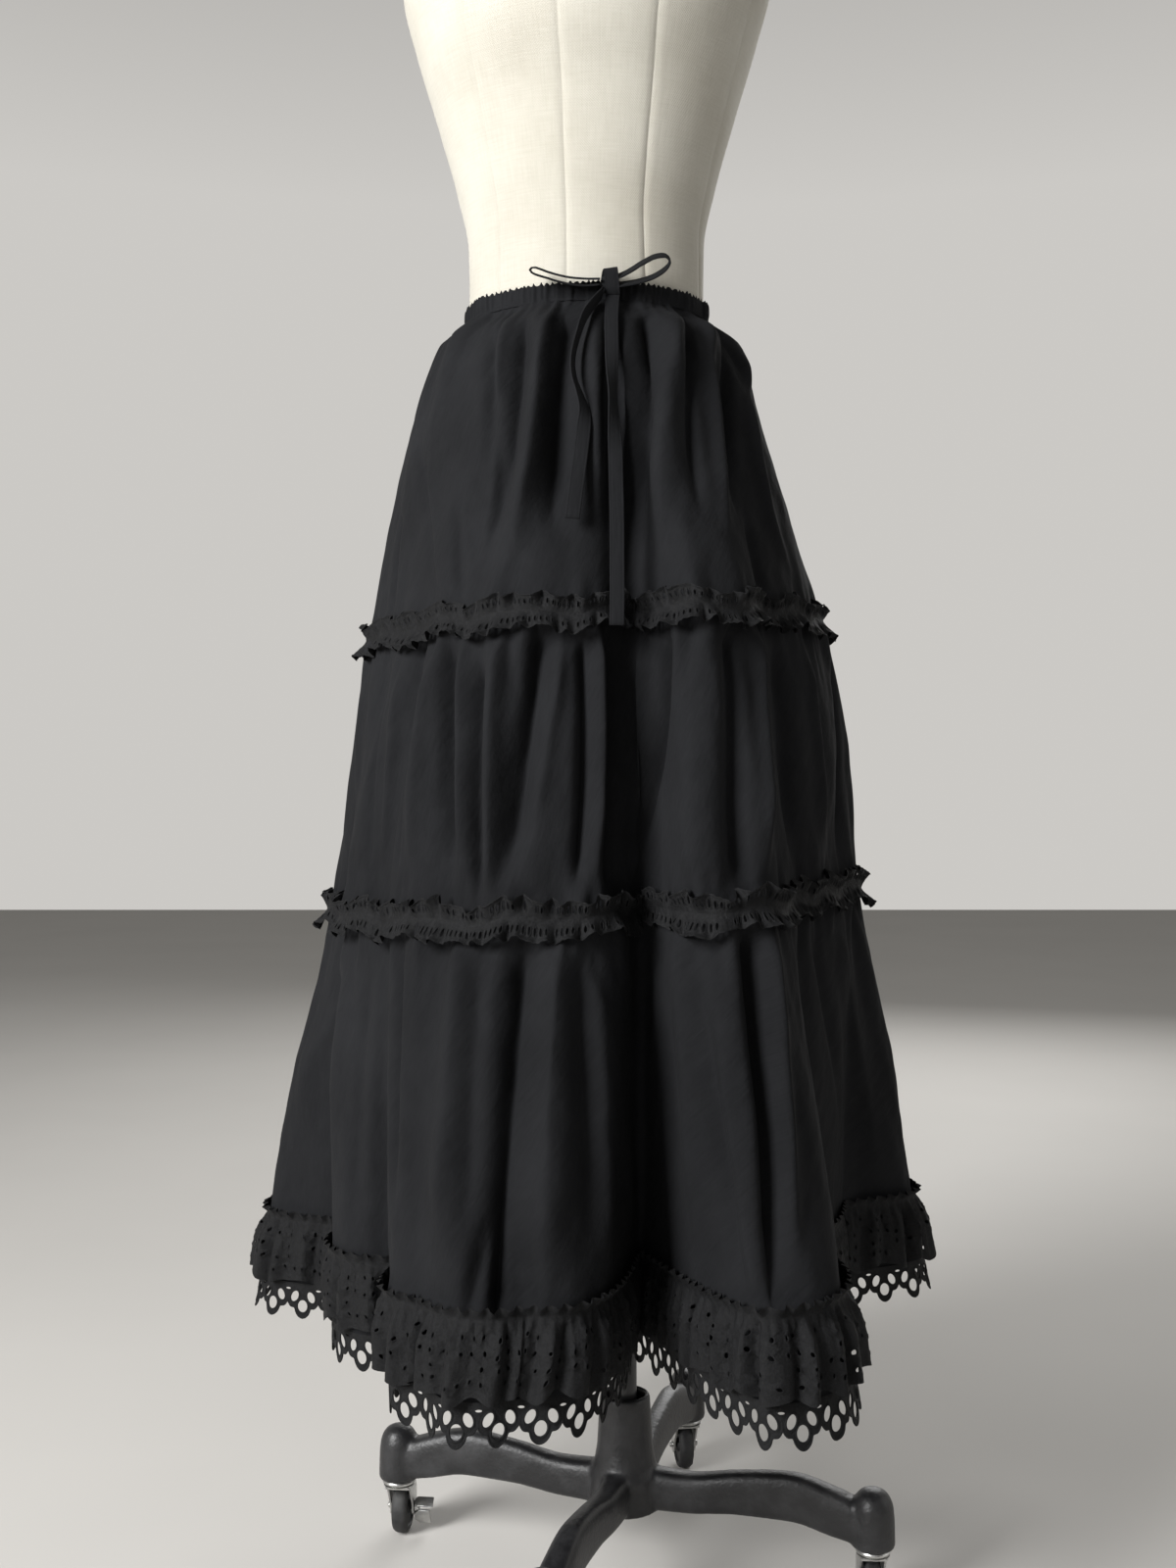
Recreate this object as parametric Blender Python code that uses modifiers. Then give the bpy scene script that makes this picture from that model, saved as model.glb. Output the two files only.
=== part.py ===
"""Tiered skirt with a drawstring waist, on a limbless dress form and its wheeled stand.

Metres, +Z up. The viewer stands at -Y with +X to the right, and z = 0 is the floor. A bearing
is the angle in plan from the viewer's side (-Y) towards the right (+X).
"""

import math
from collections import namedtuple

import bmesh
import bpy
from mathutils import Matrix, Vector

MM = 0.001

# ------------------------------------------------------------------ driving sizes
SKIRT_X = 0.0  # the skirt's own axis in plan
SKIRT_Y = 0.0
POLE_X = 0.035  # the stand's axis in plan
POLE_Y = 0.0

CLOTH = 1.5 * MM  # wall of cotton, seams and all
LACE = 1.7 * MM  # wall of the stitched cutwork
GAP = 0.3 * MM  # clearance between neighbouring pieces
SLOPED_GAP = 0.9 * MM  # the same in height, where the walls on both sides lean

WAIST_TOP = 1.197
CASING_FOOT = 1.184
SEAM_1 = 0.893
SEAM_2 = 0.644
FLOUNCE_HEADING = 0.348
HEM_TIP = 0.254
LACE_HEIGHT = 33.5 * MM
CLOTH_FOOT = HEM_TIP + LACE_HEIGHT

# The unfolded cloth is an ellipse at each height: half sizes, and the turn of its short axis.
Level = namedtuple("Level", "name z left right front back turn_deg rise")
LEVELS = (
    Level("waist", 1.197, 0.1165, 0.1125, 0.0915, 0.0915, -10, 0.000),
    Level("casing foot", 1.184, 0.1170, 0.1130, 0.0925, 0.0925, -10, 0.000),
    Level("puff", 1.160, 0.1430, 0.1410, 0.1140, 0.1140, -8, 0.000),
    Level("high hip", 1.080, 0.1700, 0.1680, 0.1500, 0.1500, -6, 0.002),
    Level("hip", 0.985, 0.1900, 0.1970, 0.1780, 0.1780, -3, 0.004),
    Level("seam 1", 0.893, 0.2090, 0.2220, 0.2050, 0.2050, 0, 0.009),
    Level("tier 2 middle", 0.770, 0.2300, 0.2460, 0.2270, 0.2250, 0, 0.009),
    Level("seam 2", 0.644, 0.2460, 0.2560, 0.2450, 0.2400, 0, 0.011),
    Level("tier 3 middle", 0.480, 0.2840, 0.2870, 0.2700, 0.2700, 0, 0.009),
    Level("heading", 0.348, 0.3040, 0.3040, 0.2850, 0.2850, 0, 0.007),
    Level("hem", 0.254, 0.3180, 0.3200, 0.2920, 0.2920, 0, 0.006),
)

# The large folds, crest and valley in turn: bearing at seam 2 and above, bearing at the hem,
# and how far the cloth stands out of the ellipse (mm) at seam 1, at seam 2 and at the hem.
Fold = namedtuple("Fold", "name top_deg hem_deg seam_1 seam_2 hem")
FOLDS = (
    Fold("left side", -95, -97, 0, 0, 4),
    Fold("left valley", -76, -80, -12, -22, -108),
    Fold("left lobe", -62, -56, -18, -6, -58),
    Fold("left inner valley", -50, -42, -16, -14, -84),
    Fold("front left shoulder", -33, -25, -4, 0, 14),
    Fold("front left lobe", -16, -16, 6, 8, 41),
    Fold("front left edge", -4, -10, -2, 2, 27),
    Fold("deep valley", 13, 16, -34, -50, -140),
    Fold("front right lobe", 26, 24, 20, 22, 74),
    Fold("right valley", 50, 56, -14, -18, -78),
    Fold("right inner valley", 76, 84, -10, -18, -84),
    Fold("right side", 96, 99, 0, 2, 16),
    Fold("back valley 1", 118, 118, -8, -12, -62),
    Fold("back lobe 1", 138, 138, 4, 8, 32),
    Fold("back valley 2", 158, 157, -10, -14, -60),
    Fold("back centre lobe", 180, 180, 4, 8, 48),
    Fold("back valley 3", 203, 203, -8, -12, -54),
    Fold("back lobe 3", 226, 226, 4, 8, 34),
    Fold("back valley 4", 245, 246, -8, -12, -64),
)
LOBE_BREADTH = 1.5  # above 1, crests are broad and valleys narrow
LEFT_SEAM = 0  # the side seams run down these two crests
RIGHT_SEAM = 11

COLUMN_PITCH = 0.0370  # about how far apart a wall's columns stand along the lower cloth
COLUMN_LEVEL = 0.410  # the height at which they are spaced
RING_STEPS = 1200  # steps that a ring's length is measured in
FOLD_STEPS = 200  # and the stretch from one fold to the next
SEAM_MARGIN = 4 * MM  # a panel's edge runs straight for this length beside its seam

# Rows of a gathered wall: height, distance out of the ring (mm) and half height of its waves (mm).
Row = namedtuple("Row", "z out wave")
CASING_ROWS = (Row(WAIST_TOP, 0.4, 1.0), Row(CASING_FOOT + SLOPED_GAP / 2, 0, 0.8))
TIER_1_ROWS = (
    Row(CASING_FOOT - SLOPED_GAP / 2, 0, 0.8),
    Row(1.160, 0, 3.0),
    Row(1.080, 0, 4.0),
    Row(SEAM_1 + GAP, 0, 0.6),
)
TIER_2_ROWS = (
    Row(SEAM_1 - GAP, 0, 0.6),
    Row(0.866, 0, 4.0),
    Row(0.770, 0, 4.5),
    Row(SEAM_2 + GAP, 0, 0.6),
)
TIER_3_ROWS = (
    Row(SEAM_2 - GAP, 0, 0.6),
    Row(0.614, 0, 4.5),
    Row(0.500, 0, 2.0),
    Row(FLOUNCE_HEADING, 0, 0.3),
    Row(CLOTH_FOOT + SLOPED_GAP, 0, 0),
)
RUFFLE_1_ROWS = (Row(SEAM_1 + 0.015, 8.0, 5.0), Row(SEAM_1, 2.5, 0.6), Row(SEAM_1 - 0.016, 10.0, 5.0))
RUFFLE_2_ROWS = (Row(SEAM_2 + 0.016, 8.5, 5.0), Row(SEAM_2, 2.5, 0.6), Row(SEAM_2 - 0.017, 11.0, 5.0))
FLOUNCE_ROWS = (
    Row(FLOUNCE_HEADING + 0.008, 6.5, 3.0),
    Row(FLOUNCE_HEADING, 2.5, 0.3),
    Row(CLOTH_FOOT + 0.001, 9.0, 5.0),
)
TRIM_SEAT = 2.5  # mm from the middle of a panel to the middle of what is sewn flat on it
SQUEEZE_DEPTH = 0.10  # a valley this deep halves the gathers in it
RING_STEP = 0.02  # half the stretch of a ring, in turns, that its direction is read from
WAIST_WAVE = (1, 0, -1, 0)  # a wave takes four columns at the waist and two elsewhere
GATHER_WAVE = (1, -1)

# One repeat of the cutwork, in mm: the pitch and the foot's outline from one valley to the next
LACE_PITCH = 32.4
SAME_POINT = 0.01  # mm between points of neighbouring repeats that are one
SCALLOP = ((0.0, 14.5), (10.6, 0.0), (21.8, 0.0))
Eyelet = namedtuple("Eyelet", "along up width height lean_deg sides")
EYELETS = (
    Eyelet(16.2, 10.8, 10.4, 11.8, 0, 5),
    Eyelet(7.4, 20.6, 8.8, 11.2, -22, 5),
    Eyelet(25.0, 20.6, 8.8, 11.2, 22, 5),
)

# The drawstring: a flat band of the same cotton
BAND_WIDTH = 12.5 * MM
BAND_THICK = 1.5 * MM
KNOT = Vector((0.018, -0.0984, 1.1935))
KNOT_SIZE = (13.0 * MM, 9.0 * MM, 15.0 * MM)
KNOT_ROUNDING = 2.6 * MM
LEFT_LOOP_LEAN_DEG = 20  # how far a loop's band leans back from lying level
RIGHT_LOOP_LEAN_DEG = 35

# The dress form: sections of a general figure, half width and depth to the front and back
FORM_TURN = math.radians(-10)
FORM_X = -0.002
FORM_SIDES = 20
Section = namedtuple("Section", "name z half_width front back")
FORM_SECTIONS = (
    Section("base", 0.930, 0.130, 0.080, 0.086),
    Section("base edge", 0.942, 0.146, 0.094, 0.102),
    Section("hip", 1.000, 0.160, 0.104, 0.116),
    Section("high hip", 1.080, 0.148, 0.098, 0.108),
    Section("under the casing", 1.180, 0.1122, 0.0888, 0.0888),
    Section("waist", 1.205, 0.1112, 0.0877, 0.0877),
    Section("above the waist", 1.255, 0.1120, 0.0895, 0.0860),
    Section("ribs", 1.310, 0.1230, 0.0990, 0.0880),
    Section("under the bust", 1.370, 0.1400, 0.1090, 0.0930),
    Section("bust", 1.440, 0.1610, 0.1300, 0.1000),
    Section("chest", 1.500, 0.1760, 0.1220, 0.1040),
    Section("shoulder", 1.548, 0.1790, 0.0960, 0.0960),
    Section("shoulder top", 1.580, 0.1540, 0.0740, 0.0800),
    Section("neck base", 1.606, 0.0860, 0.0600, 0.0640),
    Section("neck", 1.622, 0.0600, 0.0540, 0.0560),
    Section("neck top", 1.672, 0.0550, 0.0520, 0.0520),
)
NECK_CAP_THICK = 0.012
NECK_CAP_TAPER = 0.003  # how much narrower its top is, on each side

# The stand
CYLINDER_RADIUS = 0.01125
CYLINDER_TOP = 0.216
CYLINDER_FOOT = 0.066
CYLINDER_BORE = 0.0056
CYLINDER_SHOULDER = (0.003, 0.005)  # its tapered top: how far in and how far down
TURNED_SIDES = 16
ROD_RADIUS = 0.005
ROD_SIDES = 12
ROD_FOOT = 0.168
POLE_FOOT = 0.400
POLE_TOP = 1.000
POLE_RADIUS = 0.014
POLE_HOLE = 0.0146
POLE_HOLE_FOOT = 0.900  # below the form's base
ROD_SOCKET = 0.050  # how far the rod goes up into the pole
HUB_TOP = 0.173
HUB_FOOT = 0.066
TurnedRow = namedtuple("TurnedRow", "radius z")
HUB_PROFILE = (
    TurnedRow(0.0223, HUB_TOP),
    TurnedRow(0.0238, 0.171),
    TurnedRow(0.0262, 0.125),
    TurnedRow(0.0290, 0.108),
    TurnedRow(0.0330, 0.098),
    TurnedRow(0.0330, HUB_FOOT),
)
HUB_SIDES = 20
SOCKET_RADIUS = 0.0190
CUTTER_REACH = 0.010  # how far a cutter runs past the face that it opens
SOCKET_FLOOR = 0.153
SOCKET_CONE_FOOT = 0.143
LEG_COUNT = 4
FIRST_LEG_DEG = 72.0
LEG_REACH = 0.234
LEG_WIDTH = 0.030
LEG_CHAMFER = 0.006  # how far down the leg's sloped upper edges reach
LEG_BACK_SHARE = 0.7  # the width of its flat back, of the whole
KNOB_FOOT = 0.061
KNOB_PROFILE = (
    TurnedRow(0.0070, 0.114),
    TurnedRow(0.0150, 0.109),
    TurnedRow(0.0190, 0.100),
    TurnedRow(0.0200, KNOB_FOOT),
)
KNOB_SIDES = 12
LegStation = namedtuple("LegStation", "reach foot top")
LEG_STATIONS = (
    LegStation(0.010, 0.068, 0.106),
    LegStation(0.060, 0.069, 0.104),
    LegStation(0.110, 0.074, 0.112),
    LegStation(0.160, 0.075, 0.117),
    LegStation(0.200, 0.067, 0.108),
    LegStation(0.226, 0.063, 0.098),
)
WHEEL_RADIUS = 0.025
WHEEL_WIDTH = 0.016
WHEEL_SIDES = 16
TREAD_CORNER = (0.003, 0.004)  # the tread's bevel: down its side and across it
CHEEK = 0.002  # wall of the fork's cheeks
CHEEK_OUT = WHEEL_WIDTH / 2 + 0.0020 + CHEEK
AXLE_RADIUS = 0.003
AXLE_END = CHEEK_OUT + 0.005
AXLE_SIDES = 8
CASTER_TRAIL = 0.018
Race = namedtuple("Race", "radius_low radius_high thick sides")
RACE = Race(0.0145, 0.0165, 0.006, 12)  # the swivel's bearing, under the knob
ForkPlate = namedtuple("ForkPlate", "long tall ahead below")
BRIDGE = ForkPlate(0.036, 0.0022, 0.0070, 0.0068)  # middle ahead of the swivel, and below its top
CHEEK_PLATE = ForkPlate(0.017, 0.034, 0.0130, 0.0238)
CASTER_TURNS_DEG = (98.0, 84.0, 102.0, 88.0)  # where each fork trails to, from +X
BRAKED_CASTER = 2
PEDAL_COLLAR = 0.004  # its length along the axle
PEDAL_COLLAR_RADIUS = 0.006
PEDAL_SIDES = 12
PedalLeaf = namedtuple("PedalLeaf", "turn_deg high slide thick wide long")
PEDAL_LEAVES = (
    PedalLeaf(130, 0.0065, -0.001, 0.003, 0.010, 0.019),
    PedalLeaf(205, 0.0065, 0.006, 0.003, 0.017, 0.016),
)


CLOTH_SHARP_DEG = 60  # edges sharper than this stay sharp
FORM_SHARP_DEG = 50
CAP_SHARP_DEG = 30


# ------------------------------------------------------------------ scene helpers
def clear_scene():
    """Remove every object, mesh and curve of the open file."""
    for thing in list(bpy.data.objects):
        bpy.data.objects.remove(thing, do_unlink=True)


def new_collection(name):
    """Make a collection under the scene's own."""
    made = bpy.data.collections.new(name)
    bpy.context.scene.collection.children.link(made)
    return made


def material(name, color, roughness, metallic=0.0):
    """A Principled BSDF with the piece's colour, roughness and metallic value."""
    made = bpy.data.materials.new(name)
    made.use_nodes = True
    shader = made.node_tree.nodes["Principled BSDF"]
    shader.inputs["Base Color"].default_value = (*color, 1.0)
    shader.inputs["Roughness"].default_value = roughness
    shader.inputs["Metallic"].default_value = metallic
    made.diffuse_color = (*color, 1.0)
    return made


def place(name, mesh, skin, group):
    """Link a mesh as a named object in a collection."""
    thing = bpy.data.objects.new(name, mesh)
    group.objects.link(thing)
    if skin is not None:
        thing.data.materials.append(skin)
    return thing


def mesh_from(bm, name):
    """Turn a bmesh into a mesh with its faces pointing one way."""
    bmesh.ops.recalc_face_normals(bm, faces=bm.faces)
    mesh = bpy.data.meshes.new(name)
    bm.to_mesh(mesh)
    bm.free()
    return mesh


def smooth(thing, angle_deg):
    """Shade a rounded piece smooth, apart from edges sharper than the angle."""
    thing.data.shade_smooth()
    thing.data.set_sharp_from_angle(angle=math.radians(angle_deg))


def thicken(thing, thickness):
    """Give an open surface its wall, half on each side."""
    wall = thing.modifiers.new("wall", "SOLIDIFY")
    wall.thickness = thickness
    wall.offset = 0.0
    wall.use_even_offset = False


def cut(thing, cutter, operation="DIFFERENCE"):
    """Cut or join one solid with another, which then stays as a hidden guide."""
    step = thing.modifiers.new(operation.lower(), "BOOLEAN")
    step.operation = operation
    step.object = cutter
    step.solver = "EXACT"
    cutter.hide_render = True
    cutter.display_type = "WIRE"


# ------------------------------------------------------------------ the cloth's form
def between(low, high, share):
    """The value a share of the way from low to high."""
    return low + (high - low) * share


def eased(share):
    """Ease a share in and out, so that a fold's crest and valley are round."""
    return share * share * (3.0 - 2.0 * share)


def at_height(z, heights, values):
    """Read a value at height z from a list that runs from the top down."""
    if z >= heights[0]:
        return values[0]
    for n in range(len(heights) - 1):
        if z >= heights[n + 1]:
            share = (heights[n] - z) / (heights[n] - heights[n + 1])
            return between(values[n], values[n + 1], share)
    return values[-1]


def level_value(z, column):
    """Read one column of LEVELS at height z."""
    return at_height(z, [row.z for row in LEVELS], [getattr(row, column) for row in LEVELS])


def unfolded_radius(bearing, z):
    """The ellipse of the unfolded cloth at a height, along a bearing."""
    seen = bearing - math.radians(level_value(z, "turn_deg"))
    side = math.sin(seen)
    ahead = math.cos(seen)
    across = level_value(z, "right" if side > 0 else "left")
    along = level_value(z, "front" if ahead > 0 else "back")
    return 1.0 / math.hypot(side / across, ahead / along)


def fold_values(index, z):
    """A fold's bearing and stand-out at height z. The index may run past the table's ends."""
    turns, row = divmod(index, len(FOLDS))
    fold = FOLDS[row]
    bearing = at_height(z, (SEAM_2, HEM_TIP), (fold.top_deg, fold.hem_deg)) + 360.0 * turns
    heights = (CASING_FOOT, SEAM_1, SEAM_2, HEM_TIP)
    out = at_height(z, heights, (0.0, fold.seam_1, fold.seam_2, fold.hem))
    return math.radians(bearing), out * MM


def fold_out(out_a, out_b, share):
    """How far the cloth stands out on its way from one fold to the next."""
    if out_a >= out_b:
        return between(out_a, out_b, eased(share**LOBE_BREADTH))
    return between(out_b, out_a, eased((1.0 - share) ** LOBE_BREADTH))


def ring_point(turn, z):
    """A point of the cloth's middle surface: turn counts folds round the ring, z is the height."""
    index = math.floor(turn)
    share = turn - index
    bearing_a, out_a = fold_values(index, z)
    bearing_b, out_b = fold_values(index + 1, z)
    bearing = between(bearing_a, bearing_b, share)
    radius = unfolded_radius(bearing, z) + fold_out(out_a, out_b, share)
    height = z + level_value(z, "rise") * math.sin(bearing)
    return Vector(
        (SKIRT_X + radius * math.sin(bearing), SKIRT_Y - radius * math.cos(bearing), height)
    )


def ring_normal(turn, z):
    """The level direction that points straight out of the cloth."""
    along = ring_point(turn + RING_STEP, z) - ring_point(turn - RING_STEP, z)
    return Vector((along.y, -along.x, 0.0)).normalized()


def arc_table(first, last, z, steps=RING_STEPS):
    """Lengths along a ring from one turn to another, as (turns, lengths)."""
    turns = [between(first, last, n / steps) for n in range(steps + 1)]
    lengths = [0.0]
    here = ring_point(first, z)
    for turn in turns[1:]:
        following = ring_point(turn, z)
        lengths.append(lengths[-1] + (following - here).length)
        here = following
    return turns, lengths


def turn_at(length, table):
    """The turn at a length along an arc table."""
    turns, lengths = table
    low, high = 0, len(lengths) - 1
    while high - low > 1:
        middle = (low + high) // 2
        if lengths[middle] <= length:
            low = middle
        else:
            high = middle
    share = (length - lengths[low]) / (lengths[high] - lengths[low])
    return between(turns[low], turns[high], share)


def column_turns(first, last):
    """Turns of a panel's columns: one on each crest and valley, and even steps between them."""
    turns = []
    for fold in range(first, last):
        table = arc_table(fold, fold + 1, COLUMN_LEVEL, FOLD_STEPS)
        total = table[1][-1]
        count = max(2, round(total / COLUMN_PITCH))
        turns += [turn_at(total * n / count, table) for n in range(count)]
    return [*turns, last]


FRONT_TURNS = column_turns(LEFT_SEAM, RIGHT_SEAM)
BACK_TURNS = column_turns(RIGHT_SEAM, LEFT_SEAM + len(FOLDS))


def wave_at(column, pattern):
    """Where a column stands on the gathers: crest, valley or between."""
    return pattern[column % len(pattern)]


def room_in_fold(turn, z):
    """How freely trims and gathers stand out: all of it on a crest, less deep in a valley."""
    index = math.floor(turn)
    out = fold_out(fold_values(index, z)[1], fold_values(index + 1, z)[1], turn - index)
    return 1.0 / (1.0 + max(0.0, -out) / SQUEEZE_DEPTH)


def wall_point(turn, row, wave):
    """A point of a gathered wall: on the ring, moved out by its row's distance and wave."""
    room = room_in_fold(turn, row.z)
    seat = min(row.out, TRIM_SEAT)
    distance = seat + (row.out - seat + row.wave * wave) * room
    return ring_point(turn, row.z) + ring_normal(turn, row.z) * distance * MM


def strip_mesh(name, columns, rows, pattern, closed):
    """A grid of quads through the columns and rows of a wall."""
    bm = bmesh.new()
    grid = []
    for turn, column in columns:
        wave = 0 if column is None else wave_at(column, pattern)
        grid.append([bm.verts.new(wall_point(turn, row, wave)) for row in rows])
    count = len(grid)
    for n in range(count if closed else count - 1):
        near, far = grid[n], grid[(n + 1) % count]
        for m in range(len(rows) - 1):
            bm.faces.new((near[m], near[m + 1], far[m + 1], far[m]))
    return mesh_from(bm, name)


def panel_columns(turns, start_column):
    """A panel's columns, as (turn, number), with its edges set back from the side seams.

    A column with no number carries no gathers, so the edges lie flat at the seams.
    """
    table = arc_table(turns[0], turns[-1], SEAM_2)
    total = table[1][-1]
    edges = (GAP / 2, SEAM_MARGIN)
    near = [(turn_at(edge, table), None) for edge in edges]
    far = [(turn_at(total - edge, table), None) for edge in reversed(edges)]
    inner = [(turn, start_column + n) for n, turn in enumerate(turns)][1:-1]
    return [*near, *inner, *far]


def tube_columns(step=1):
    """Every step-th column of both panels as one closed ring, with a flat column at each seam."""
    front = panel_columns(FRONT_TURNS, 0)
    back = panel_columns(BACK_TURNS, len(FRONT_TURNS) - 1)
    ring = [(FRONT_TURNS[0], None), *front[1:-1], (FRONT_TURNS[-1], None), *back[1:-1]]
    return [column for column in ring if column[1] is None or column[1] % step == 0]


def build_wall(name, columns, rows, skin, group, pattern=GATHER_WAVE, closed=False, thick=CLOTH):
    """A wall of cloth through its rows, as a named solid."""
    thing = place(name, strip_mesh(name, columns, rows, pattern, closed), skin, group)
    thicken(thing, thick)
    smooth(thing, CLOTH_SHARP_DEG)
    return thing


# ------------------------------------------------------------------ skirt
def build_tiers(skin, group):
    """The three gathered tiers, each as a front and a back panel."""
    back_start = len(FRONT_TURNS) - 1
    panels = (
        ("front", panel_columns(FRONT_TURNS, 0)),
        ("back", panel_columns(BACK_TURNS, back_start)),
    )
    tiers = (
        (1, TIER_1_ROWS, WAIST_WAVE),
        (2, TIER_2_ROWS, GATHER_WAVE),
        (3, TIER_3_ROWS, GATHER_WAVE),
    )
    for number, rows, pattern in tiers:
        for side, columns in panels:
            build_wall(f"tier_{number}_{side}", columns, rows, skin, group, pattern)


def build_trims(skin, group):
    """The waist casing, the two seam ruffles and the eyelet flounce, each a closed ring."""
    columns = tube_columns()
    crests = tube_columns(step=2)
    build_wall("waist_casing", crests, CASING_ROWS, skin, group, WAIST_WAVE, closed=True)
    build_wall("seam_ruffle_1", columns, RUFFLE_1_ROWS, skin, group, closed=True)
    build_wall("seam_ruffle_2", columns, RUFFLE_2_ROWS, skin, group, closed=True)
    build_wall("eyelet_flounce", columns, FLOUNCE_ROWS, skin, group, closed=True)


def eyelet_outline(eyelet):
    """The corners of one cut hole, in mm along and up the lace."""
    lean = math.radians(eyelet.lean_deg)
    corners = []
    for n in range(eyelet.sides):
        angle = 2.0 * math.pi * n / eyelet.sides + math.pi / 2
        x = 0.5 * eyelet.width * math.cos(angle)
        y = 0.5 * eyelet.height * math.sin(angle)
        corners.append(
            (
                eyelet.along + x * math.cos(lean) - y * math.sin(lean),
                eyelet.up + x * math.sin(lean) + y * math.cos(lean),
            )
        )
    return corners


def loop_edges(bm, corners):
    """Join corners into a closed loop of edges on the plane."""
    verts = [bm.verts.new((x, y, 0.0)) for x, y in corners]
    return [bm.edges.new((verts[n], verts[(n + 1) % len(verts)])) for n in range(len(verts))]


def lace_repeat():
    """One repeat of the cutwork, flat: an outline and its holes, filled with triangles."""
    top = LACE_HEIGHT / MM
    outline = [*SCALLOP, (LACE_PITCH, SCALLOP[0][1]), (LACE_PITCH, top), (0.0, top)]
    bm = bmesh.new()
    edges = loop_edges(bm, outline)
    for eyelet in EYELETS:
        edges += loop_edges(bm, eyelet_outline(eyelet))
    bmesh.ops.triangle_fill(bm, use_beauty=True, use_dissolve=False, edges=edges)
    mesh = bpy.data.meshes.new("lace repeat")
    bm.to_mesh(mesh)
    bm.free()
    return mesh


def build_lace(name, first, last, repeat, skin, group):
    """Cutwork between two side seams: flat repeats side by side, then hung round the ring."""
    middle = HEM_TIP + 0.5 * LACE_HEIGHT
    table = arc_table(first, last, middle)
    total = table[1][-1]
    count = round(total / (LACE_PITCH * MM))
    bm = bmesh.new()
    for n in range(count):
        before = len(bm.verts)
        bm.from_mesh(repeat)
        bm.verts.ensure_lookup_table()
        for vert in bm.verts[before:]:
            vert.co.x += n * LACE_PITCH
    bmesh.ops.remove_doubles(bm, verts=bm.verts, dist=SAME_POINT)
    margin = SEAM_MARGIN / MM
    for x in (margin, count * LACE_PITCH - margin):
        everything = [*bm.verts, *bm.edges, *bm.faces]
        bmesh.ops.bisect_plane(bm, geom=everything, plane_co=(x, 0, 0), plane_no=(1, 0, 0))
    length = total - 2 * GAP
    for vert in bm.verts:
        along = GAP + length * vert.co.x / (count * LACE_PITCH)
        turn = turn_at(along, table)
        vert.co = ring_point(turn, HEM_TIP + vert.co.y * MM)
    thing = place(name, mesh_from(bm, name), skin, group)
    thicken(thing, LACE)
    return thing


def build_hem_lace(skin, group):
    """The scalloped cutwork border, front and back."""
    repeat = lace_repeat()
    build_lace("hem_lace_front", LEFT_SEAM, RIGHT_SEAM, repeat, skin, group)
    build_lace("hem_lace_back", RIGHT_SEAM, LEFT_SEAM + len(FOLDS), repeat, skin, group)
    bpy.data.meshes.remove(repeat)


# ------------------------------------------------------------------ drawstring
BandPoint = namedtuple("BandPoint", "x out z turn_deg")
# Where the tails hang, in the skirt's frame: x, distance out of the unfolded cloth, height, and
# the band's turn about its own length, which is 0 where it lies flat to the viewer.
LEFT_TAIL = (
    BandPoint(0.0125, 0.0092, 1.1853, 80),
    BandPoint(-0.002, 0.0122, 1.159, 70),
    BandPoint(-0.009, 0.0127, 1.137, 75),
    BandPoint(-0.013, 0.0127, 1.116, 75),
    BandPoint(-0.012, 0.0122, 1.098, 70),
    BandPoint(-0.007, 0.0122, 1.081, 60),
    BandPoint(-0.003, 0.0115, 1.066, 40),
    BandPoint(-0.004, 0.0110, 1.048, 10),
    BandPoint(-0.007, 0.0110, 1.020, 0),
    BandPoint(-0.010, 0.0115, 0.995, 0),
    BandPoint(-0.013, 0.0120, 0.970, 0),
)
RIGHT_TAIL = (
    BandPoint(0.0222, 0.0080, 1.1852, 0),
    BandPoint(0.0205, 0.0066, 1.160, 0),
    BandPoint(0.0205, 0.0085, 1.130, 10),
    BandPoint(0.0205, 0.0100, 1.105, 35),
    BandPoint(0.0210, 0.0110, 1.080, 55),
    BandPoint(0.0220, 0.0105, 1.055, 35),
    BandPoint(0.0230, 0.0100, 1.030, 5),
    BandPoint(0.0235, 0.0100, 1.000, 0),
    BandPoint(0.0240, 0.0080, 0.965, 0),
    BandPoint(0.0240, 0.0045, 0.930, 0),
    BandPoint(0.0240, 0.0030, 0.905, 0),
    BandPoint(0.0235, 0.0030, 0.880, 0),
)
LoopPoint = namedtuple("LoopPoint", "x y z")
LEFT_LOOP = (
    LoopPoint(-0.0073, -0.0029, -0.0010),
    LoopPoint(-0.022, -0.0029, -0.0020),
    LoopPoint(-0.038, -0.0029, 0.0000),
    LoopPoint(-0.054, -0.0029, 0.0045),
    LoopPoint(-0.066, -0.0029, 0.0085),
    LoopPoint(-0.069, -0.0029, 0.0120),
    LoopPoint(-0.065, -0.0029, 0.0140),
    LoopPoint(-0.052, -0.0029, 0.0095),
    LoopPoint(-0.036, -0.0029, 0.0055),
    LoopPoint(-0.020, -0.0029, 0.0040),
    LoopPoint(-0.0073, -0.0029, 0.0040),
)
RIGHT_LOOP = (
    LoopPoint(0.0075, -0.0010, 0.0060),
    LoopPoint(0.018, -0.0010, 0.0110),
    LoopPoint(0.030, -0.0010, 0.0185),
    LoopPoint(0.041, -0.0010, 0.0240),
    LoopPoint(0.050, -0.0010, 0.0250),
    LoopPoint(0.054, -0.0010, 0.0200),
    LoopPoint(0.050, -0.0010, 0.0130),
    LoopPoint(0.040, -0.0010, 0.0065),
    LoopPoint(0.026, -0.0010, 0.0020),
    LoopPoint(0.0075, -0.0010, -0.0010),
)


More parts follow.
